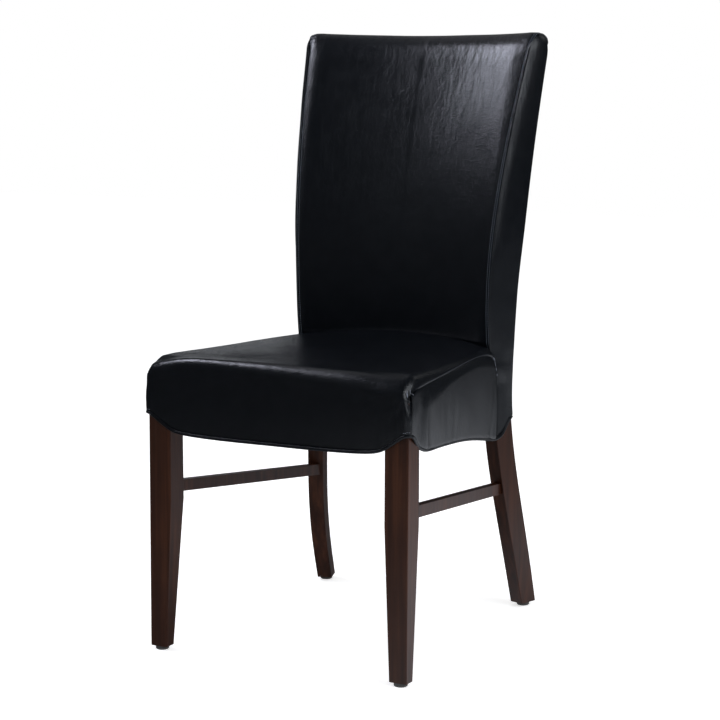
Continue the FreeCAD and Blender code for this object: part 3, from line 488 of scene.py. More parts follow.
def seatSurface(rows, columns, values):
    # outer and inner face, how firmly each point is held, and its distance from the side seam
    share = np.linspace(0, 1, rows)[:, None]
    across = np.linspace(-1, 1, columns)[None, :]
    split, flat = values["topShare"], values["flatShare"]
    onTop = np.clip(share / split, 0, 1)
    down = np.clip((share - split) / (1 - split), 0, 1)
    flap = np.clip((np.abs(across) - flat) / (1 - flat), 0, 1)
    width = np.sign(across) * np.clip(np.abs(across) / flat, 0, 1)
    y = np.full((rows, columns), 200.0)
    for _ in range(6):
        y = blend(backFrontY(seatHalf(y) * width), seat["front"], onTop)
    x = seatHalf(y) * width
    top = seatTop(x, y)
    z = blend(top, along(frontEdge, np.abs(x)), down)
    # the side flap, from the shoulder down to the side seam and the corner seam
    seamY = blend(seat["seamRear"], seat["cornerSeam"], onTop)
    seamZ = blend(along(sideSeam, seamY), along(sideEdge, seat["cornerSeam"]), down)
    y, z = blend(y, seamY, flap), blend(z, seamZ, flap)
    x = np.where(flap > 0, np.sign(across) * seatHalf(y), x)
    flatX, flatY, flatZ = x, y, z
    # rounded over at the shoulders, the front and the corners
    nearTop = smoothStep(z, top - 46, top - 18)
    leftFront = (1 - smoothStep(x, -150, 150)) * (1 - smoothStep(y, 40, 130))
    shoulder = values["shoulder"] - values["leftShoulder"] * leftFront
    radiusX = seat["corner"] + (shoulder - seat["corner"]) * nearTop
    # the roll is tight on the left and slacker on the right, and the shoulder flattens out to the rear
    rollDepth = values["leftRoll"] + (values["rightRoll"] - values["leftRoll"]) * smoothStep(x, -150, 215)
    radiusY = seat["corner"] + (rollDepth - seat["corner"]) * nearTop
    sideShare = smoothStep(np.abs(x), seatHalf(y) - 34, seatHalf(y) - 6) * smoothStep(y, 2, 24)
    radiusZ = blend(rollDepth, np.interp(y, *values["sideDepths"]), sideShare)
    innerX = np.clip(x, -(seatHalf(y) - radiusX), seatHalf(y) - radiusX)
    innerY = np.maximum(y, seat["front"] + radiusY)
    innerZ = np.minimum(z, top - radiusZ)
    ex, ey, ez = (x - innerX) / radiusX, (y - innerY) / radiusY, (z - innerZ) / radiusZ
    size = np.maximum(np.sqrt(ex ** 2 + ey ** 2 + ez ** 2), 1e-6)
    x, y, z = innerX + radiusX * ex / size, innerY + radiusY * ey / size, innerZ + radiusZ * ez / size
    # the front leans in a little towards the piping, under a slight belly
    fall = frontFall(z)
    y = y + smoothStep(-y, -6, 4) * (values["lowerLean"] * fall ** 2 - values["belly"] * np.sin(np.pi * fall))
    # tucked in against the back
    gap = flatY - backFrontY(np.clip(flatX, -200, 200))
    z = z - values["rearTuck"] * (1 - smoothStep(-gap, 0, 16)) ** 2 * (1 - down)
    # drawn in at the side seam
    inwards = (np.abs(across) < flat) * (1 - np.abs(width)) * seatHalf(flatY)
    seamDistance = (1 - flap) * values["flapReach"] + inwards
    x = x - np.sign(across) * (values["seamTuck"] * nearEdge(seamDistance, 7))
    outside = np.stack([x, y, z], axis=-1)
    # inner face: a flat underside on the webbing, then the back of the front skirt
    low = seat["underside"]
    innerY = np.maximum(np.where(flap > 0, seamY, flatY), seat["front"] + leatherThickness)
    innerZ = np.where(down > 0, np.where(flatZ > low, low + 0.01 * (flatZ - low), flatZ), low)
    innerY = np.where((down > 0) & (flatZ < low), np.minimum(y, 2.0) + leatherThickness, innerY)
    innerY = np.where((down > 0) & (np.abs(across) > 0.96), np.maximum(innerY, seat["front"] + 3), innerY)
    inside = asPoints(across * (seatHalf(flatY) - values["innerGap"]), innerY, innerZ)
    held = 1 - smoothStep(seamDistance, 3, 14) * smoothStep(-gap, 4, 30) * (1 - smoothStep(down, 0.25, 0.6))
    return outside, inside, held, seamDistance


def makeSeatPad(values):
    outside, inside, seamDistance = puffedUp(seatSurface, values)
    normal = outwardsFrom(outside, seat["centre"])
    free = smoothStep(seamDistance, 3, 60)[..., None]
    outside = outside + normal * values["waviness"] * ripple(outside, 130, 1.3)[..., None] * free
    # gathers at the two front corners, where the seams meet
    for _, side in sides:
        away = outside - np.array([side * 238.0, 4.0, 459.0])
        reach = np.linalg.norm(away, axis=-1)
        turn = np.arctan2(away[..., 2], side * away[..., 0] - away[..., 1])
        fan = np.sin(turn * 11 + 0.15 * reach) * np.exp(-reach / values["gatherReach"])
        outside = outside + normal * (values["gathers"] * (fan * smoothStep(reach, 2, 9)))[..., None]
        # short creases down the corner seam, and a fuller patch of the front beside it
        x, y, z = outside[..., 0], outside[..., 1], outside[..., 2]
        seamLine = np.hypot(x - side * seat["half"], y - seat["cornerSeam"])
        crease = np.sin(z * 0.5) * np.exp(-seamLine / 7) * smoothStep(461 - z, 0, 12) * values["creases"]
        aside, above = (np.abs(x * side - values["fullX"]) / 26) ** 2, ((z - values["fullZ"]) / 11) ** 2
        fuller = values["fullness"] * np.exp(-(aside + above)) * (y < 12) * (side * x > 0)
        outside = outside + normal * (crease + fuller)[..., None]
    pad = padPiece("seat_pad", outside, inside)
    print("seat pad made,", len(pad.data.polygons), "faces")
    return pad, outside


# Side skirts of the seat, sewn under the shoulder, loose and slightly creased towards the piping

sideSkirt = {"rows": 61, "columns": 201, "overhang": 6.0, "drawIn": 6.6, "tuck": 0.8, "hemTuck": 1.2,
             "bulges": ([0, 70, 110, 143, 200, 280, 350, 426], [38, 36, 26, 19, 14, 13, 18, 20]),
             "foldDepth": 1.6, "fine": 0.22, "waviness": 0.35, "fadeOut": (384, 425),
             "folds": [(18, 6, 0.5, 0.1), (33, 8, -0.7, 0.1), (48, 7, 1.0, 0.15), (68, 13, -0.6, 0.25),
                       (100, 10, 0.3, 0.4), (124, 6, 0.35, 0.5), (150, 8, -0.3, 0.5), (172, 5, 0.35, 0.55),
                       (190, 6, -0.3, 0.6), (206, 5, 0.35, 0.5), (250, 22, 0.4, 0.4), (300, 20, -0.4, 0.4),
                       (345, 16, 0.3, 0.4), (394, 8, -0.9, 0.0), (411, 5, 1.5, 0.0)]}


def makeSideSkirt(name, side, values):
    first, last = seat["cornerSeam"] - 0.9, seat["rear"] + 1.2
    y = np.tile(np.linspace(first, last, values["columns"]), (values["rows"], 1))
    low, high = along(sideEdge, y) - hemDrop, along(sideSeam, y) - 0.4
    z = low + (high - low) * np.linspace(0, 1, values["rows"])[:, None]
    drop = high - z
    bulge = np.interp(y, *values["bulges"])
    overhang = values["overhang"] * (0.25 + 0.75 * smoothStep(y, 20, 60))
    fallen = np.clip((drop - bulge * 0.6) / (high - low - bulge * 0.6), 0, 1)
    drawnIn = values["drawIn"] * fallen ** 2 * (0.6 + 0.4 * smoothStep(y, 34, 80))
    out = overhang * np.sin(np.pi * np.clip(drop / (2 * bulge), 0, 0.5)) - drawnIn
    out = out * (1 - smoothStep(y, *values["fadeOut"]))
    out = out - values["tuck"] * nearEdge(drop, 5) - values["hemTuck"] * nearEdge(z - low, 5)
    out = out - values["tuck"] * nearEdge(np.minimum(y - first, last - y), 5)
    for centre, width, height, fade in values["folds"]:
        # near the front the folds run down the leg and turn out along the edge
        atLeg, beside = 0.0052 * np.maximum(drop - 45, 0) ** 2, 0.0016 * drop ** 2 * (centre < 130)
        lean = atLeg if centre < 60 else beside
        wave = bell(y - centre - lean, width * (1 + 0.006 * drop))
        fallen = smoothStep(drop / np.maximum(high - low, 1), fade * 0.6, fade * 0.6 + 0.5)
        out = out + values["foldDepth"] * height * wave * fallen
    fine = np.sin(y * 0.55 + 0.9 * np.sin(y * 0.13) + drop * 0.02) * smoothStep(drop, 35, 85) \
        * smoothStep(y, 60, 110) * (1 - smoothStep(y, 230, 300))
    out = out + values["fine"] * fine + values["waviness"] * ripple(asPoints(side * 40, y, z), 90, 2.0)
    grid = asPoints(side * (seatHalf(y) + out), y, z)
    return sheetPiece(name, [grid], (side, 0, 0)), grid


# Side panels of the back, from the front seam to the rear corner and down over the rear leg

sidePanel = {"rows": 201, "columns": 41, "padding": 4.0, "lipWidth": 18.0, "tuck": 1.4, "bow": 1.0,
             "fullness": ([380, 430, 560, 700, 820, 940], [1.0, 2.4, 1.7, 1.2, 1.7, 2.4]),
             "seamTop": 447.0, "seamTurn": 37.0, "seamLow": 427.0, "rearInset": 0.8}


def panelFront(z, values):
    # the front seam runs down the back, and below it along the rear end of the skirt
    high = onBack(np.maximum(z, back["foot"]), 1.0, thickness(z) - 1.6, z)
    turned = np.clip((z - (values["seamTop"] - values["seamTurn"])) / values["seamTurn"], 0, 1) ** 1.6
    seamY = values["seamLow"] + (seat["seamRear"] - values["seamLow"]) * turned
    low = asPoints(seatHalf(seamY + 0.3) - 1.0, seamY + 0.3, z)
    return blend(high, low, np.clip((values["seamTop"] - z) / values["seamTurn"], 0, 1)[..., None])


def crestHeight(setback):
    reach = topThickness - back["topRoll"]
    ahead = np.sqrt(np.clip(1 - (1 - setback / back["topRoll"]) ** 2, 0, 1))
    rear = np.sqrt(np.clip(1 - ((setback - back["topRoll"]) / reach) ** 2, 0, 1))
    return np.where(setback < back["topRoll"], back["top"] - back["topFall"] * (1 - ahead),
                    back["top"] - back["rearRoll"] * (1 - rear)) + back["crown"]


def makeSidePanel(name, side, values):
    share = np.linspace(0, 1, values["rows"])[:, None] ** 0.95
    place = np.tile(np.linspace(0, 1, values["columns"]), (values["rows"], 1))
    top = crestHeight(place * topThickness) - float(cornerDrop(side)) - 0.4
    low = np.full_like(top, 330.0)
    for _ in range(8):
        y = blend(panelFront(low, values)[..., 1], leatherCorner(low)[1] - values["rearInset"], place)
        low = along(sideEdge, y) - hemDrop
    z = low + (top - low) * share
    front = panelFront(z, values)
    cornerX, cornerY = leatherCorner(z)
    rear = asPoints(cornerX - behind[0] * values["rearInset"], cornerY - behind[1] * values["rearInset"], z)
    grid = blend(front, rear, place[..., None])
    wide = np.linalg.norm((rear - front)[..., :2], axis=-1)
    fromFront, fromRear = place * wide, (1 - place) * wide
    # a soft lip beside the front seam, which goes round the top
    lip = (1 - nearEdge(fromFront, values["lipWidth"])) * smoothStep(z, 455, 520)
    below = 1 - nearEdge(top - z, values["lipWidth"])
    out = values["padding"] * lip * below * smoothStep(z, 560, 700)
    out = out + np.interp(z, *values["fullness"]) * below * smoothStep(fromFront, 6, 30)
    out = out + values["bow"] * np.sin(np.pi * place)
    out = out - values["tuck"] * nearEdge(fromFront, 4) - 1.0 * nearEdge(fromRear, 5)
    out = out + 0.3 * ripple(grid, 110, 3.1) * smoothStep(np.minimum(fromFront, fromRear), 0, 14)
    way = (rear - front) / np.maximum(wide, 1e-6)[..., None]
    grid = grid + asPoints(way[..., 1], -way[..., 0], 0.0) * out[..., None]
    grid[..., 0] *= side
    return sheetPiece(name, [grid], (side, 0, 0)), grid


# Outer panel of the back, stretched from the wrapped top down to the rear skirt

outerPanel = {"rows": 161, "columns": 101, "top": 985.4, "bulge": 1.4, "tuck": 1.4, "pull": 0.25,
              "waviness": 0.4, "slack": 0.35}


def makeOuterPanel(values):
    side = np.tile(np.linspace(-1, 1, values["columns"]), (values["rows"], 1))
    low = np.full(side.shape, 330.0)
    for _ in range(6):
        low = along(rearEdge, np.abs(side) * leatherCorner(low)[0] * np.abs(np.sin(side * back["turn"]))
                    / np.maximum(np.abs(side) * math.sin(back["turn"]), 1e-6)) - hemDrop
    top = values["top"] + back["crown"] - cornerDrop(side) * nearEdge(edgeDistance(985.0, side), 15, 2.2)
    z = low + (top - low) * np.linspace(0, 1, values["rows"])[:, None]
    fromEdge = edgeDistance(z, side)
    out = values["bulge"] * smoothStep(fromEdge, 0, 90) - values["tuck"] * nearEdge(fromEdge, 6)
    out = out - 1.0 * nearEdge(top - z, 6)
    pull = np.sin(side * 9.0 + 0.4 * np.sin(z / 60)) * smoothStep(top - z, 0, 40)
    pull = pull * (1 - smoothStep(top - z, 60, 240))
    out = out + values["pull"] * pull + values["waviness"] * ripple(onBack(z, side, 0.0), 170, 4.2)
    slack = np.sin(side * 21.0 + 0.8 * np.sin(z / 30)) * (1 - smoothStep(z, 330, 430))
    grid = onBack(z, side, -(out + values["slack"] * (slack * smoothStep(z - low, 0, 20))))
    return sheetPiece("back_outer_panel_leather", [grid], (0, 1, 0)), grid


# Piping along the skirt: leather rolled over a cord, with its sewn allowance tucked up behind the edge

piping = {"radius": 2.8, "drop": 1.9, "proud": 1.3, "around": 14, "step": 2.2, "crease": 0.042,
          "tips": [((239.0, -6.0), (0.8, -0.3), 0.6), ((200.5, 475.5), (0.75, 0.65), 3.4)]}


def lowered(outline, distance):
    step = np.gradient(outline, axis=0)
    step /= np.linalg.norm(step, axis=1, keepdims=True)
    return outline + np.stack([step[:, 1], -step[:, 0]], axis=1) * distance


def pipingRoute(values):
    drop, proud, half = values["drop"], values["proud"], leatherThickness / 2
    front = lowered(frontEdge[frontEdge[:, 0] < 229], drop)
    side = lowered(sideEdge[(sideEdge[:, 0] > 1) & (sideEdge[:, 0] < 465)], drop)
    rear = lowered(rearEdge[rearEdge[:, 0] < 192], drop)
    frontLine = [(x, seat["front"] + half - proud + 2.5 * frontFall(z) ** 2, z) for x, z in front]
    sideLine = []
    for y, z in side:
        cornerX, cornerY = leatherCorner(z)
        x, behindSeat = float(seatHalf(min(y, seat["rear"]))), max(y - seat["rear"], 0.0)
        x = x + (cornerX - x) * behindSeat / (cornerY - seat["rear"])
        lean = sideSkirt["drawIn"] * 0.75 * (1 - smoothStep(y, 395, 440)) * smoothStep(y, 4, 40)
        sideLine.append((x + proud - half - lean, y, z))
    rearLine = [tuple(onBack(np.array(z), x / leatherCorner(z)[0], half - proud)) for x, z in rear]
    right = frontLine + sideLine + rearLine[::-1]
    left = [(-x, y, z) for x, y, z in right[::-1]]
    return np.array(left[:-1] + right)


def sweep(route, radiusAt, around):
    # closed tube along a closed route
    ahead = np.roll(route, -1, axis=0) - np.roll(route, 1, axis=0)
    ahead /= np.linalg.norm(ahead, axis=1, keepdims=True)
    up = np.array([0.0, 0.0, 1.0]) - ahead * ahead[:, 2:3]
    up /= np.linalg.norm(up, axis=1, keepdims=True)
    aside = np.cross(ahead, up)
    angles = np.linspace(0, 2 * math.pi, around, endpoint=False)
    turned = np.cos(angles)[None, :, None] * up[:, None] + np.sin(angles)[None, :, None] * aside[:, None]
    rings = route[:, None] + turned * radiusAt(angles)[..., None]
    return rings.reshape(-1, 3), ringFaces(len(route), around, closed=True)


def evenly(points, step):
    # a closed line, cut into even steps
    line = np.vstack([points, points[:1]])
    length = np.concatenate([[0], np.cumsum(np.linalg.norm(np.diff(line, axis=0), axis=1))])
    places = np.linspace(0, length[-1], int(length[-1] / step) + 1)
    return np.stack([np.interp(places, length, line[:, k]) for k in range(3)], axis=1)[:-1]


def makePiping(values):
    route = evenly(pipingRoute(values), values["step"])
    for _ in range(3):
        route = (np.roll(route, 1, axis=0) + 2 * route + np.roll(route, -1, axis=0)) / 4
    length = np.arange(len(route))[:, None] * values["step"]

    def radiusAt(angles):
        crease = np.sin(length * 1.15 + 1.4 * np.sin(length * 0.21) + angles[None, :])
        return values["radius"] * (1 + values["crease"] * crease)

    # pushed out a little where it turns the corners of the skirt
    for _, side in sides:
        for spot, way, tip in values["tips"]:
            near = bell(np.linalg.norm(route[:, :2] - (side * spot[0], spot[1]), axis=1), 9)
            route[:, :2] += near[:, None] * np.array([side * way[0], way[1]]) * tip
    print("piping made,", round(len(route) * values["step"]), "mm")
    return makeMesh("skirt_piping_leather", *sweep(route, radiusAt, values["around"]))


# Webbing: elastic straps woven across the frame, and three up the back

webbing = {"width": 50.0, "pitch": 64.0, "crossPitch": 90.0, "firstCross": 78.0, "level": 445.9, "weave": 2.1,
           "front": 11, "rear": 462, "frontReach": 214.0, "narrowing": 30.0, "depth": 390,
           "backWidth": 60.0, "backPitch": 105.0, "backLow": 498.5, "backHigh": 979.5, "letIn": 1.0,
           "thickness": 1.6}


def makeWebbing(values):
    # each piece, and the straps that it is made of
    level, half = values["level"] + values["thickness"] / 2, values["width"] / 2
    long, cross, up = [], [], []
    for column in range(-2, 3):
        x = values["pitch"] * column
        y = np.linspace(values["front"], values["rear"], 91)[:, None]
        long.append(asPoints(np.linspace(x - half, x + half, 7)[None, :], y, level))
    for row in range(4):
        place = values["firstCross"] + values["crossPitch"] * row
        reach = values["frontReach"] - values["narrowing"] * row * values["crossPitch"] / values["depth"]
        x = np.linspace(-reach, reach, 121)[None, :]
        phase = np.cos(np.pi * x / values["pitch"]) * (1 if row % 2 == 0 else -1)
        wave = np.clip(phase * 2.2, -1, 1) * -values["weave"] * smoothStep(reach - np.abs(x), 0, 50)
        cross.append(asPoints(x, np.linspace(place - half, place + half, 7)[:, None], level + wave))
    for column in (-1, 0, 1):
        z = np.linspace(values["backLow"], values["backHigh"], 97)[:, None]
        width = leatherCorner(z)[0]
        strap = np.linspace(-1, 1, 9)[None, :] * values["backWidth"] / 2
        side = column * values["backPitch"] / width + strap / width
        depth = post["cover"] + postDepth(z) + 0.1 - values["letIn"] + values["thickness"]
        up.append(onBack(z + 0 * side, side, depth))
    return [(sheetPiece(name, grids, facing, values["thickness"]), grids) for name, grids, facing in (
        ("seat_webbing_long", long, (0, 0, 1)), ("seat_webbing_cross", cross, (0, 0, 1)),
        ("back_webbing_straps", up, (0, -1, 0)))]


# Dust cover: black lining stapled under the rails, cut round the legs

dustCover = {"front": 5.0, "rear": 465.3, "frontHalf": 218.0, "rearHalf": 158.0, "level": 384.9, "sag": 3.5,
             "thickness": 0.6, "cell": 4.0, "cornerX": 185, "cornerY": 46, "rearPost": (170, 452),
             "besidePost": 17, "beforePost": 22, "meanNarrowing": 0.86}


def makeDustCover(values):
    half = values["frontHalf"]
    columns = np.arange(-half, half + 0.1, values["cell"])
    x, y = np.meshgrid(columns, np.arange(values["front"], values["rear"], values["cell"]))
    edge = half - (half - values["rearHalf"]) * (y - 45) / (values["rear"] - 45)
    x = x * np.where(y > 45, edge / half, 1.0)
    inside = smoothStep(edge - np.abs(x), 14, 70) * smoothStep(y - values["front"], 20, 80) \
        * smoothStep(values["rear"] - y, 20, 80)
    z = values["level"] - values["sag"] * inside - 0.25 * ripple(asPoints(x, y, 0.0), 60, 5.0) * inside
    postX, postY = np.abs(x) - values["rearPost"][0], y - values["rearPost"][1]
    atFrontLeg = (np.abs(x) > values["cornerX"]) & (y < values["cornerY"])
    aside, rearwards = postX * sideways[0] + postY * sideways[1], postX * behind[0] + postY * behind[1]
    atRearLeg = (aside > -values["besidePost"]) & (rearwards > -values["beforePost"])
    keep = (~atFrontLeg & ~atRearLeg).reshape(-1)
    faces = [face for face in gridFaces(*x.shape) if all(keep[corner] for corner in face)]
    used = sorted({corner for face in faces for corner in face})
    number = {corner: place for place, corner in enumerate(used)}
    cover = makeMesh("dust_cover_cloth", asPoints(x, y, z).reshape(-1, 3)[used],
                     [tuple(number[corner] for corner in face) for face in faces], (0, 0, -1))
    area = len(faces) * values["cell"] ** 2 / 1e6 * values["meanNarrowing"]
    return thicken(cover, values["thickness"]), area


pad, backGrid = makeBackPad(backPad)
cushion, seatGrid = makeSeatPad(seatPad)
skirts = [makeSideSkirt("seat_side_skirt_" + word, side, sideSkirt) for word, side in sides]
panels = [makeSidePanel("back_side_leather_" + word, side, sidePanel) for word, side in sides]
outer, outerGrid = makeOuterPanel(outerPanel)
tube = makePiping(piping)
straps = makeWebbing(webbing)
cloth, clothArea = makeDustCover(dustCover)
print("leather, webbing and dust cover made")


# Node trees: inputs are fed by name, with a value or with another node's socket

def feed(tree, node, feeds):
    for key, value in feeds.items():
        if isinstance(value, bpy.types.NodeSocket):
            tree.links.new(value, node.inputs[key])
        else:
            node.inputs[key].default_value = value
    return node


def addNode(tree, kind, feeds, **settings):
    node = tree.nodes.new(kind)
    for key, value in settings.items():
        setattr(node, key, value)
    return feed(tree, node, feeds)


def newTree(kind, name, inputs, outputs):
    tree = bpy.data.node_groups.new(name, kind)
    for way, sockets in (("INPUT", inputs), ("OUTPUT", outputs)):
        for label, form, *value in sockets:
            socket = tree.interface.new_socket(label, in_out=way, socket_type="NodeSocket" + form)
            if value:
                socket.default_value = value[0]
    return tree, tree.nodes.new("NodeGroupInput").outputs, tree.nodes.new("NodeGroupOutput")


def mathNode(tree, operation, first, second):
    return addNode(tree, "ShaderNodeMath", {0: first, 1: second}, operation=operation).outputs[0]


def times(tree, first, second):
    return mathNode(tree, "MULTIPLY", first, second)


# Stitches, staples and tacks by Geometry Nodes

def coatedTree(tree, given, end, geometry):
    real = addNode(tree, "GeometryNodeRealizeInstances", {"Geometry": geometry})
    coat = addNode(tree, "GeometryNodeSetMaterial", {
        "Geometry": real.outputs[0], "Material": given["Thread"]})
    feed(tree, end, {"Geometry": coat.outputs[0]})
    return tree


def makeStitchTree():
    # evenly spaced stitches along a line, each a small rounded bar that lies along it
    tree, given, end = newTree("GeometryNodeTree", "StitchRow", [
        ("Geometry", "Geometry"), ("Pitch", "Float", 0.004), ("Stitch Length", "Float", 0.003),
        ("Thread Width", "Float", 0.0009), ("Wander", "Float", 0.05), ("Seed", "Int", 3),
        ("Thread", "Material")], [("Geometry", "Geometry")])
    line = addNode(tree, "GeometryNodeMeshToCurve", {"Mesh": given["Geometry"]})
    even = addNode(tree, "GeometryNodeResampleCurve", {"Curve": line.outputs[0], "Length": given["Pitch"]},
                   mode="LENGTH")
    bar = addNode(tree, "GeometryNodeMeshUVSphere", {"Segments": 6, "Rings": 4, "Radius": 0.5})
    width = given["Thread Width"]
    size = addNode(tree, "ShaderNodeCombineXYZ", {"X": width, "Y": width, "Z": given["Stitch Length"]})
    tangent = addNode(tree, "GeometryNodeInputTangent", {})
    turned = addNode(tree, "FunctionNodeAlignRotationToVector", {"Vector": tangent.outputs[0]}, axis="Z")
    wander = addNode(tree, "FunctionNodeRandomValue", {
        "Seed": given["Seed"], "Min": times(tree, given["Wander"], -1.0), "Max": given["Wander"]},
        data_type="FLOAT_VECTOR")
    loose = addNode(tree, "FunctionNodeRotateRotation", {
        "Rotation": turned.outputs[0], "Rotate By": wander.outputs["Value"]})
    placed = addNode(tree, "GeometryNodeInstanceOnPoints", {
        "Points": even.outputs[0], "Instance": bar.outputs["Mesh"], "Rotation": loose.outputs[0],
        "Scale": size.outputs[0]})
    return coatedTree(tree, given, end, placed.outputs[0])


def makeThreadTree():
    # a round thread along each line
    tree, given, end = newTree("GeometryNodeTree", "ThreadAlongLine", [
        ("Geometry", "Geometry"), ("Thread Radius", "Float", 0.0005), ("Thread", "Material")],
        [("Geometry", "Geometry")])
    line = addNode(tree, "GeometryNodeMeshToCurve", {"Mesh": given["Geometry"]})
    ring = addNode(tree, "GeometryNodeCurvePrimitiveCircle", {
        "Resolution": 6, "Radius": given["Thread Radius"]})
    tube = addNode(tree, "GeometryNodeCurveToMesh", {
        "Curve": line.outputs[0], "Profile Curve": ring.outputs[0], "Fill Caps": True})
    return coatedTree(tree, given, end, tube.outputs[0])


stitchTree, threadTree = makeStitchTree(), makeThreadTree()


def runTree(name, lines, tree, values):
    # lines of points in millimetres become one mesh of edges, and the tree turns it into threads
    points, edges = [], []
    for line in lines:
        edges += [(len(points) + k, len(points) + k + 1) for k in range(len(line) - 1)]
        points += [tuple(point) for point in line]
    mesh = bpy.data.meshes.new(name)
    mesh.from_pydata(inMetres(points).tolist(), edges, [])
    piece = addObject(name, mesh)
    modifier = piece.modifiers.new("threads", "NODES")
    modifier.node_group = tree
    for item in tree.interface.items_tree:
        if item.item_type == "SOCKET" and item.in_out == "INPUT" and item.name in values:
            modifier[item.identifier] = values[item.name]
    bake(piece)
    piece.data.shade_smooth()
    print("  ", name, len(piece.data.polygons), "faces")
    return piece


def inFromEdge(grid, distance, last, lift, centre):
    # the line on a grid at a set distance from its first or last column, lifted off the leather
    way = -1 if last else 1
    rows, normals = grid[:, ::way], outwardsFrom(grid, centre)[:, ::way]
    steps = np.linalg.norm(np.diff(rows, axis=1), axis=2)
    reaches = np.concatenate([np.zeros((len(rows), 1)), np.cumsum(steps, axis=1)], axis=1)
    return np.array([[np.interp(distance, reach, row[:, k]) for k in range(3)]
                     for reach, row in zip(reaches, rows + lift * normals)])


# Materials

def plainMaterial(name):
    made = bpy.data.materials.new(name)
    made.use_nodes = True
    return made, made.node_tree, made.node_tree.nodes["Principled BSDF"]


def objectPlace(tree):
    return addNode(tree, "ShaderNodeTexCoord", {}).outputs["Object"]


def noise(tree, place, scale, detail, roughness=0.5, distortion=0.0):
    return addNode(tree, "ShaderNodeTexNoise", {
        "Vector": place, "Scale": scale, "Detail": detail, "Roughness": roughness,
        "Distortion": distortion}).outputs["Fac"]


def voronoi(tree, place, scale, feature, **more):
    return addNode(tree, "ShaderNodeTexVoronoi", {"Vector": place, "Scale": scale, **more},
                   feature=feature).outputs["Distance"]


def stretched(tree, place, amounts):
    return addNode(tree, "ShaderNodeVectorMath", {0: place, 1: amounts}, operation="MULTIPLY").outputs[0]


def ramp(tree, source, stops):
    node = addNode(tree, "ShaderNodeValToRGB", {"Fac": source})
    elements = node.color_ramp.elements
    for element, (place, colour) in zip(elements, (stops[0], stops[-1])):
        element.position, element.color = place, (*colour, 1)
    for place, colour in stops[1:-1]:
        elements.new(place).color = (*colour, 1)
    return node.outputs["Color"]


def remap(tree, source, low, high, fromLow=0.0, fromHigh=1.0):
    return addNode(tree, "ShaderNodeMapRange", {
        "Value": source, "From Min": fromLow, "From Max": fromHigh,
        "To Min": low, "To Max": high}).outputs["Result"]


def addBump(tree, shader, height, distance, strength):
    bump = addNode(tree, "ShaderNodeBump", {"Height": height, "Distance": distance, "Strength": strength})
    feed(tree, shader, {"Normal": bump.outputs["Normal"]})


def makeLeatherGrain():
    # pebbled grain: small cells with creases between them, over slower unevenness
    group, given, end = newTree("ShaderNodeTree", "LeatherGrain", [
        ("Vector", "Vector"), ("Pebble Size mm", "Float", 1.3), ("Crease Strength", "Float", 0.6),
        ("Wrinkles", "Float", 3.0), ("Streaks", "Float", 10.0)],
        [("Height", "Float"), ("Shade", "Float"), ("Polish", "Float")])
    place = given["Vector"]
    size = mathNode(group, "DIVIDE", 1000.0, given["Pebble Size mm"])
    cells = voronoi(group, place, size, "SMOOTH_F1", Smoothness=0.35)
    creases = voronoi(group, place, times(group, size, 0.6), "DISTANCE_TO_EDGE")
    line = remap(group, creases, 0.0, 1.0, 0.0, 0.12)
    slow = noise(group, place, 38.0, 3.0, 0.55)
    wrinkles = noise(group, stretched(group, place, (0.4, 1.0, 1.0)), 620.0, 2.0, 0.6, 0.3)
    streaks = noise(group, stretched(group, place, (1.0, 1.0, 0.13)), 95.0, 2.0)
    pebbles = mathNode(group, "SUBTRACT", 1.0, cells)
    furrows = times(group, mathNode(group, "SUBTRACT", line, 1.0), given["Crease Strength"])
    height = mathNode(group, "ADD", pebbles, furrows)
    height = mathNode(group, "ADD", height, times(group, wrinkles, given["Wrinkles"]))
    height = mathNode(group, "ADD", height, times(group, streaks, given["Streaks"]))
    # the colour is darker along the furrows between the pebbles, painted shade in the creases, over slow
    # random changes of the leather's tone
    shade = mathNode(group, "ADD", times(group, slow, 0.6), times(group, line, 0.4))
    feed(group, end, {"Height": height, "Shade": shade, "Polish": slow})
    return group


def makeWoodGrain():
    # long grain along the leg, with pores and slow changes of the stain
    group, given, end = newTree("ShaderNodeTree", "WoodGrain", [
        ("Vector", "Vector"), ("Across", "Float", 260.0), ("Along", "Float", 9.0)],
        [("Figure", "Float"), ("Pores", "Float"), ("Stain", "Float")])
    across = given["Across"]
    scale = addNode(group, "ShaderNodeCombineXYZ", {"X": across, "Y": across, "Z": given["Along"]})
    fibres = stretched(group, given["Vector"], scale.outputs[0])
    feed(group, end, {"Figure": noise(group, fibres, 0.35, 5.0, 0.6, 0.4),
                      "Pores": noise(group, fibres, 3.0, 2.0, 0.7),
                      "Stain": noise(group, given["Vector"], 7.0, 2.0)})
    return group


leatherGrain, woodGrain = makeLeatherGrain(), makeWoodGrain()


def placeGroup(tree, group, values):
    return addNode(tree, "ShaderNodeGroup", {"Vector": objectPlace(tree), **values}, node_tree=group).outputs


leather = {"dark": (0.0016, 0.0024, 0.0038), "light": (0.0036, 0.0050, 0.0074),
           "grain": {"Pebble Size mm": 1.5, "Crease Strength": 0.5, "Wrinkles": 20.0, "Streaks": 26.0},
           "bumpDepth": 0.00005, "bumpStrength": 0.45, "smooth": 0.20, "rough": 0.27, "shine": 0.5}


def makeLeather(name, values):
    made, tree, shader = plainMaterial(name)
    grain = placeGroup(tree, leatherGrain, values["grain"])
    # base colour from the grain: the leather's own slow changes of tone, with painted shade in the furrows
    feed(tree, shader, {
        "Base Color": ramp(tree, grain["Shade"], [(0.25, values["dark"]), (0.8, values["light"])]),
        "Roughness": remap(tree, grain["Polish"], values["smooth"], values["rough"], 0.3, 0.7),
        "Specular IOR Level": values["shine"]})
    addBump(tree, shader, grain["Height"], values["bumpDepth"], values["bumpStrength"])
    return made


wood = {"dark": (0.018, 0.0058, 0.0026), "middle": (0.040, 0.0122, 0.0050), "light": (0.076, 0.0245, 0.0096)}
hardwood = {"dark": (0.33, 0.20, 0.10), "middle": (0.48, 0.32, 0.18), "light": (0.60, 0.44, 0.27)}


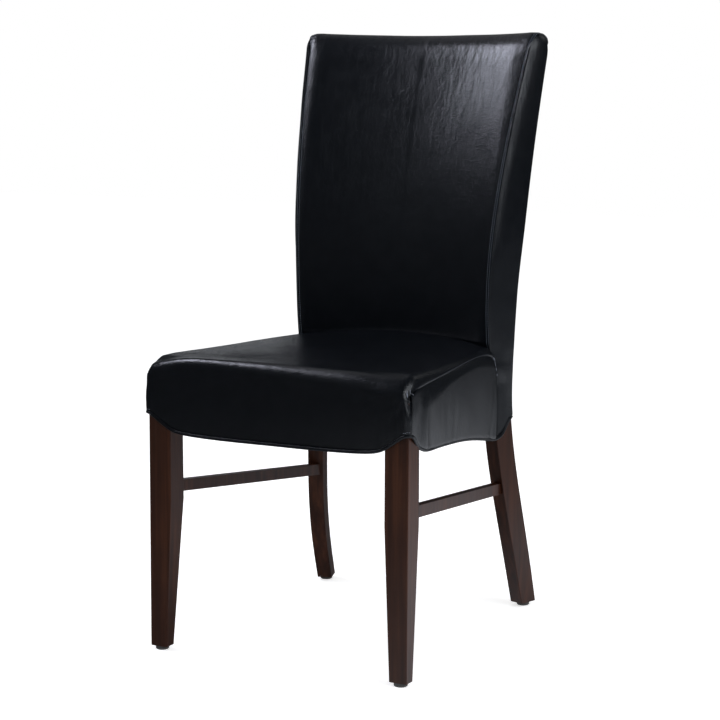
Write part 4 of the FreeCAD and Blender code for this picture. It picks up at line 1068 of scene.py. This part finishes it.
def makeWood(name, values, smooth, rough, bump, shine):
    made, tree, shader = plainMaterial(name)
    grain = placeGroup(tree, woodGrain, {})
    tone = mathNode(tree, "ADD", times(tree, grain["Figure"], 0.7), times(tree, grain["Stain"], 0.3))
    stops = [(0.32, values["dark"]), (0.5, values["middle"]), (0.68, values["light"])]
    feed(tree, shader, {
        "Base Color": ramp(tree, tone, stops),
        "Roughness": remap(tree, grain["Pores"], smooth, rough, 0.3, 0.7), "Specular IOR Level": shine})
    addBump(tree, shader, grain["Pores"], 0.0001, bump)
    return made


def makeSpeckled(name, base, other, scale, rough, metallic=0.0, bump=0.3):
    made, tree, shader = plainMaterial(name)
    specks = noise(tree, objectPlace(tree), scale, 4.0, 0.6)
    feed(tree, shader, {
        "Base Color": ramp(tree, specks, [(0.35, base), (0.65, other)]),
        "Roughness": remap(tree, specks, rough * 0.85, min(1.0, rough * 1.15), 0.3, 0.7),
        "Metallic": metallic})
    addBump(tree, shader, specks, 0.0002, bump)
    return made


def makeThread(name, dark, light, rough):
    return makeSpeckled(name, dark, light, 2500.0, rough, 0.0, 0.5)


def makeWebbingCloth():
    # ribbed elastic webbing, with a fine rib across the strap and a fleck of lighter yarn
    made, tree, shader = plainMaterial("elastic webbing")
    place = objectPlace(tree)
    flecks = noise(tree, place, 300.0, 3.0)
    feed(tree, shader, {
        "Base Color": ramp(tree, flecks, [(0.35, (0.05, 0.05, 0.055)), (0.65, (0.15, 0.15, 0.16))]),
        "Roughness": remap(tree, flecks, 0.8, 0.95)})
    addBump(tree, shader, voronoi(tree, place, 620.0, "F1"), 0.0004, 0.7)
    return made


blackLeather = makeLeather("glossy black leather", leather)
pipingGrain = {**leather["grain"], "Pebble Size mm": 1.1}
pipingLeather = makeLeather("piping leather", {
    **leather, "grain": pipingGrain, "smooth": 0.30, "rough": 0.42, "shine": 0.3})
espressoWood = makeWood("espresso lacquered wood", wood, 0.28, 0.42, 0.2, 0.34)
rawWood = makeWood("raw hardwood", hardwood, 0.6, 0.8, 0.6, 0.5)
glidePlastic = makeSpeckled("moulded glide plastic", (0.035, 0.034, 0.033), (0.06, 0.058, 0.055), 900.0, 0.5)
zincSteel = makeSpeckled("zinc-plated steel", (0.50, 0.50, 0.52), (0.66, 0.66, 0.70), 500.0, 0.32, 1.0)
liningCloth = makeSpeckled("black lining cloth", (0.012, 0.012, 0.013), (0.030, 0.030, 0.032), 1400.0, 0.9,
                           0.0, 0.8)
paleThread = makeThread("pale grey thread", (0.16, 0.18, 0.23), (0.32, 0.35, 0.42), 0.45)
greyThread = makeThread("grey bonded thread", (0.022, 0.025, 0.034), (0.045, 0.050, 0.065), 0.35)
# the seam thread is black; it is coloured a light slate as a painted highlight, the light it catches along
# the seam
seamThreadPaintedHighlight = makeThread("black seam thread painted slate as highlight", (0.075, 0.092, 0.12), (0.15, 0.18, 0.22), 0.4)
blackThread = makeThread("black bonded thread", (0.004, 0.004, 0.006), (0.010, 0.011, 0.015), 0.28)
webbingCloth = makeWebbingCloth()

for name, node in nodes.items():
    if name.startswith(("front_leg", "rear_leg", "side_stretcher")):
        finish = espressoWood
    elif name in ("corner_block_screws", "glide_nails"):
        finish = zincSteel
    elif name.startswith("glide_"):
        finish = glidePlastic
    elif "rail" in name or "block" in name or "dowels" in name:
        finish = rawWood
    else:
        continue
    node.data.materials.clear()
    node.data.materials.append(finish)
print("wood, plastic and steel finished")


# Rows of stitches beside the seams, tacks at the corners, and staples under the frame

topStitch = {"Pitch": 0.0040, "Stitch Length": 0.0028, "Thread Width": 0.00105, "Wander": 0.06}
backRows = (("near", 5.4, 3), ("far", 9.2, 5))
seatRow = {"inset": 2.6, "lift": 0.45, "cornerLift": 0.4, "first": 14, "gap": 9, "cornerGap": 4, "end": -3}


def stitchRow(name, line, material, seed):
    return runTree(name, [line], stitchTree, {**topStitch, "Seed": seed, "Thread": material})


threadPieces = []
shoulderRow = int(seatPad["topShare"] * seatPad["rows"])
for word, side in sides:
    for place, inset, seed in backRows:
        row = inFromEdge(backGrid, inset, side > 0, 0.35, back["centre"])
        threadPieces.append(stitchRow("back_seam_stitches_%s_%s" % (place, word), row[row[:, 2] > 462],
                                      seamThreadPaintedHighlight, seed))
    seam = inFromEdge(seatGrid, seatRow["inset"], side > 0, seatRow["lift"], seat["centre"])
    seam = seam[seatRow["first"]:shoulderRow - seatRow["gap"]]
    threadPieces.append(stitchRow("seat_seam_stitches_" + word, seam, greyThread, 7))
    corner = inFromEdge(seatGrid, seatRow["inset"], side > 0, seatRow["cornerLift"], seat["centre"])
    corner = corner[shoulderRow + seatRow["cornerGap"]:seatRow["end"]]
    threadPieces.append(stitchRow("seat_corner_stitches_" + word, corner, blackThread, 9))

tacks = {"radius": 0.0004, "lift": 0.3, "turnX": 231, "turnY": 1, "turnRadius": 9.3,
         "corner": ((6.0, 459, 5), (10.0, 461, 7), (17.0, 463, 8), (22.0, 464, 7))}


def inMillimetres(spot):
    return spot.x * 1000, spot.y * 1000 - originY, spot.z * 1000


def onLeather(points, trees, lift):
    # points are laid on the nearest leather, a little proud of it
    laid = []
    for point in inMetres(points):
        spot, normal, _, _ = min((tree.find_nearest(Vector(point)) for tree in trees), key=lambda hit: hit[3])
        laid.append(inMillimetres(spot + normal * lift / 1000))
    return laid


def aroundCorner(side, place, z, trees, values):
    # a place on the leather round the seat's front corner, in mm from the end of its front
    reach = values["turnRadius"]
    turned = min(place / reach, math.pi / 2)
    way = Vector((side * math.sin(turned), -math.cos(turned), 0.0))
    x = side * (values["turnX"] + reach * math.sin(turned))
    y = values["turnY"] - reach * math.cos(turned) + max(place - reach * math.pi / 2, 0)
    start = Vector(inMetres([(x, y, z)])[0]) + way * 0.03
    hits = [hit for hit in (tree.ray_cast(start, -way, 0.06) for tree in trees) if hit[0] is not None]
    if not hits:
        return x, y, z
    return inMillimetres(min(hits, key=lambda hit: hit[3])[0] + way * values["lift"] / 1000)


def crossThreads(word, side, skirt, values):
    # hand tacks that cross the seam, at both ends of the corner seam and the rear end of the side seam
    trees = [BVHTree.FromPolygons([v.co.copy() for v in piece.data.vertices],
                                  [tuple(face.vertices) for face in piece.data.polygons])
             for piece in (cushion, skirt)]
    tacked = [[aroundCorner(side, place + 2.0 * (0.5 - t), high - length * t, trees, values)
               for t in np.linspace(0, 1, 7)] for place, high, length in values["corner"]]
    lines = []
    for k in range(5):
        x = 226.5 + 2.7 * k
        y, z = -6.0 + 3.0 * float(smoothStep(x, 234, 240)), float(along(frontEdge, x)) + 2.6 + 0.5 * (k % 2)
        lines.append([(side * (x - 0.8 + 1.5 * t), y, z) for t in np.linspace(0, 1, 4)])
    for k in range(6):
        y = 400.0 + 4.6 * k
        x, z = side * float(seatHalf(y)), float(along(sideSeam, y))
        lines.append([(x, y - 2.0 + 4.0 * t, z + 2.6 - 4.4 * t + 0.6 * (k % 2))
                      for t in np.linspace(0, 1, 5)])
    laid = [onLeather(line, trees, values["lift"]) for line in lines] + tacked
    return runTree("corner_tacks_" + word, laid, threadTree,
                   {"Thread Radius": values["radius"], "Thread": paleThread})


for (word, side), (skirt, _) in zip(sides, skirts):
    threadPieces.append(crossThreads(word, side, skirt, tacks))

staples = {"Pitch": 0.024, "Stitch Length": 0.010, "Thread Width": 0.0011, "Wander": 0.1}
stapleLevel = 384.0
staplePath = [[(x, y, stapleLevel) for x, y in ends] for ends in (
    ((-180, 16), (180, 16)), ((-140, 456), (140, 456)), ((-208, 56), (-166, 415)), ((208, 56), (166, 415)))]
stapled = runTree("dust_cover_staples", staplePath, stitchTree, {**staples, "Seed": 11, "Thread": zincSteel})
print("stitches and staples made")


# Each leather piece stands for its plain solid

def standFor(piece, material, slot, *replaced):
    piece.data.materials.clear()
    piece.data.materials.append(material)
    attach(piece, "root")
    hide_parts(*replaced)


standFor(pad, blackLeather, "black_leather", "back_inner_cover", "back_foam")
standFor(cushion, blackLeather, "black_leather", "seat_cover", "seat_foam")
for (skirt, grid), (panel, panelGrid), (word, _) in zip(skirts, panels, sides):
    standFor(skirt, blackLeather, "black_leather", "seat_side_panel_" + word)
    standFor(panel, blackLeather, "black_leather", "back_side_panel_" + word)
standFor(outer, blackLeather, "black_leather", "back_outer_panel")
standFor(tube, pipingLeather, "piping_leather", "skirt_piping")
strapPlaces = (("seat_webbing_lengthwise", ["front_rail", "rear_rail"]),
               ("seat_webbing_crosswise", ["side_rail_left", "side_rail_right"]),
               ("back_webbing", ["back_lower_rail", "back_top_rail"]))
for (piece, grids), (node, restsOn) in zip(straps, strapPlaces):
    standFor(piece, webbingCloth, "webbing", node)
standFor(cloth, liningCloth, "lining_cloth", "dust_cover")
for piece in threadPieces:
    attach(piece, "root")
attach(stapled, "root")


# Camera at the photograph's view, in metres in the frame

def direction(turned, raised):
    # from the front towards +X and up, in degrees
    turned, raised = math.radians(turned), math.radians(raised)
    level = math.cos(raised)
    return Vector((level * math.sin(turned), -level * math.cos(turned), math.sin(raised)))


def aim(thing, place, ahead):
    thing.location = place
    thing.rotation_euler = ahead.to_track_quat("-Z", "Y").to_euler()


cameraView = {"turn": 27.63254, "down": 8.45942, "lens": 102.11, "place": (1.57926, -3.01298, 0.96403)}
camera = addObject("camera", bpy.data.cameras.new("camera"))
camera.data.lens = cameraView["lens"]
camera.data.sensor_width = 36.0
camera.data.clip_end = 50.0
aim(camera, cameraView["place"], -direction(cameraView["turn"], cameraView["down"]))
scene.camera = camera


# Floor, surroundings and studio light

studio = {"floorColour": 0.86, "floorGlow": 0.62, "roomLight": 0.5, "clothRadius": 20, "wallRadius": 2500,
          "ceiling": 3100, "wallGrey": 0.065, "floorLeft": 0.09, "floorRight": 0.68, "floorHalf": 9000,
          "tentColour": (0.88, 0.92, 1.0, 1), "panelColour": (0.83, 0.85, 1.0, 1)}


def seenDirectly(tree):
    # 1 for the camera and for what gloss and glass show
    path = addNode(tree, "ShaderNodeLightPath", {}).outputs
    seen = mathNode(tree, "MAXIMUM", path["Is Camera Ray"], path["Is Glossy Ray"])
    return mathNode(tree, "MAXIMUM", seen, path["Is Transmission Ray"])


def makeFloor(values):
    made, tree, shader = plainMaterial("pale floor")
    glow = times(tree, seenDirectly(tree), values["floorGlow"])
    feed(tree, shader, {
        "Base Color": (values["floorColour"],) * 3 + (1,), "Roughness": 0.9, "Specular IOR Level": 0.0,
        "Emission Color": (1, 1, 1, 1), "Emission Strength": glow})
    far = values["floorHalf"]
    corners = [(-far, -far, 0), (far, -far, 0), (far, far, 0), (-far, far, 0)]
    floor = makeMesh("floor", corners, [(0, 1, 2, 3)], (0, 0, 1))
    floor.data.materials.append(made)


def makeRoom(values):
    world = bpy.data.worlds.new("studio")
    scene.world = world
    world.use_nodes = True
    tree = world.node_tree
    strength = remap(tree, seenDirectly(tree), values["roomLight"], 1.0)
    feed(tree, tree.nodes["Background"], {"Color": (1, 1, 1, 1), "Strength": strength})


def makeTent(values):
    # grey cloth round the set, as studios hang it for glossy goods; only the gloss sees it
    wall, top, around = values["wallRadius"], values["ceiling"], 64
    outline = [(values["clothRadius"], 3), (wall * 0.5, 3), (wall, 3), (wall, top * 0.5), (wall, top),
               (wall * 0.5, top), (1, top)]
    points = [(radius * math.cos(turned), radius * math.sin(turned) - originY, height)
              for radius, height in outline for turned in np.linspace(0, 2 * math.pi, around, endpoint=False)]
    tent = makeMesh("grey_tent", points, ringFaces(len(outline), around))
    made, tree, shader = plainMaterial("grey cloth")
    place = objectPlace(tree)
    x, y, z = addNode(tree, "ShaderNodeSeparateXYZ", {"Vector": place}).outputs
    # the floor brightens to the right, and the walls are an even grey
    slanted = mathNode(tree, "SUBTRACT", x, times(tree, y, 0.15))
    near = remap(tree, slanted, values["floorLeft"], values["floorRight"], -0.1, 0.45)
    distance = addNode(tree, "ShaderNodeVectorMath", {0: place}, operation="LENGTH").outputs["Value"]
    onFloor = times(tree, near, remap(tree, distance, 1.5, 0.24, 0.7, 2.4))
    onWall = remap(tree, x, values["wallGrey"], values["wallGrey"] * 0.45, -0.6, 1.2)
    mix = addNode(tree, "ShaderNodeMix", {0: remap(tree, z, 0.0, 1.0, 0.01, 0.25), 2: onFloor, 3: onWall})
    feed(tree, shader, {"Base Color": (0, 0, 0, 1), "Specular IOR Level": 0.0,
                        "Emission Color": values["tentColour"], "Emission Strength": mix.outputs[0]})
    tent.data.materials.append(made)
    tent.visible_camera = False
    tent.visible_diffuse = False
    tent.visible_shadow = False
    tent.visible_transmission = False


def softBox(name, target, turned, raised, distance, wide, tall, glow, colour=(1, 1, 1)):
    # placed by its direction from the target
    way = direction(turned, raised)
    light = addObject(name, bpy.data.lights.new(name, "AREA"))
    light.data.shape = "RECTANGLE"
    light.data.size, light.data.size_y = wide, tall
    light.data.energy = glow * math.pi * wide * tall
    light.data.color = colour
    aim(light, Vector(target) + way * distance, -way)
    return light


def glowPanel(name, target, corners, distance, peak):
    # light panel that is brightest at its upper right, set by the directions of its four corners
    places = [inMillimetres(Vector(target) + direction(*corner) * distance) for corner in corners]
    panel = makeMesh(name, places, [(0, 1, 2, 3)], -(Vector(places[0]) + Vector(places[2])))
    layer = panel.data.uv_layers.new(name="panel")
    spots = ((0, 1), (1, 1), (1, 0), (0, 0))
    for loop in panel.data.loops:
        layer.data[loop.index].uv = spots[loop.vertex_index]
    made, tree, shader = plainMaterial(name)
    spread = addNode(tree, "ShaderNodeTexCoord", {}).outputs["UV"]
    x, y, _ = addNode(tree, "ShaderNodeSeparateXYZ", {"Vector": spread}).outputs
    across = mathNode(tree, "POWER", remap(tree, x, 0.0, 1.0, 0.0, 0.4), 1.3)
    across = times(tree, across, remap(tree, x, 1.0, 0.2, 0.45, 1.0))
    up = mathNode(tree, "POWER", remap(tree, y, 0.0, 1.0, 0.0, 0.6), 1.7)
    up = times(tree, up, remap(tree, y, 1.0, 0.1, 0.66, 1.0))
    feed(tree, shader, {"Base Color": (0, 0, 0, 1), "Emission Color": studio["panelColour"],
                        "Emission Strength": times(tree, times(tree, across, up), peak)})
    panel.data.materials.append(made)
    panel.visible_camera = False
    panel.visible_shadow = False


makeFloor(studio)
makeRoom(studio)
makeTent(studio)
glowPanel("key_panel", (0.09, 0.2, 0.88), [(-53, 49), (-93, 48), (-84, 25), (-47, 22)], 2.1, 27.0)
softBox("key fill", (0.0, 0.2, 0.75), -34, 24, 2.3, 1.3, 1.0, 0.12, (0.85, 0.93, 1.0))
softBox("overhead", (0.0, -0.25, 0.48), -105, 57, 1.9, 2.2, 0.60, 0.36, (0.94, 0.95, 1.0))
softBox("right", (0.2, 0.15, 0.9), 116, 10, 2.2, 0.9, 0.5, 0.22)
fill = softBox("side fill", (0.2, 0.1, 0.35), 100, 3, 2.3, 1.5, 1.2, 1.6, (1.0, 0.93, 0.86))
fill.visible_glossy = False
softBox("front right", (0.2, 0.2, 0.85), 70, 24, 2.3, 1.1, 1.5, 4.2, (0.88, 0.93, 1.0))
softBox("rear left", (0.0, 0.2, 0.7), -158, 40, 2.2, 0.9, 0.7, 0.3)
softBox("low left", (0.0, 0.2, 0.48), -134, 5, 2.3, 1.0, 0.32, 0.5, (0.90, 0.94, 1.0))
softBox("rear right", (0.0, 0.2, 0.7), 150, 38, 2.2, 0.9, 0.7, 0.8)
print("studio ready")
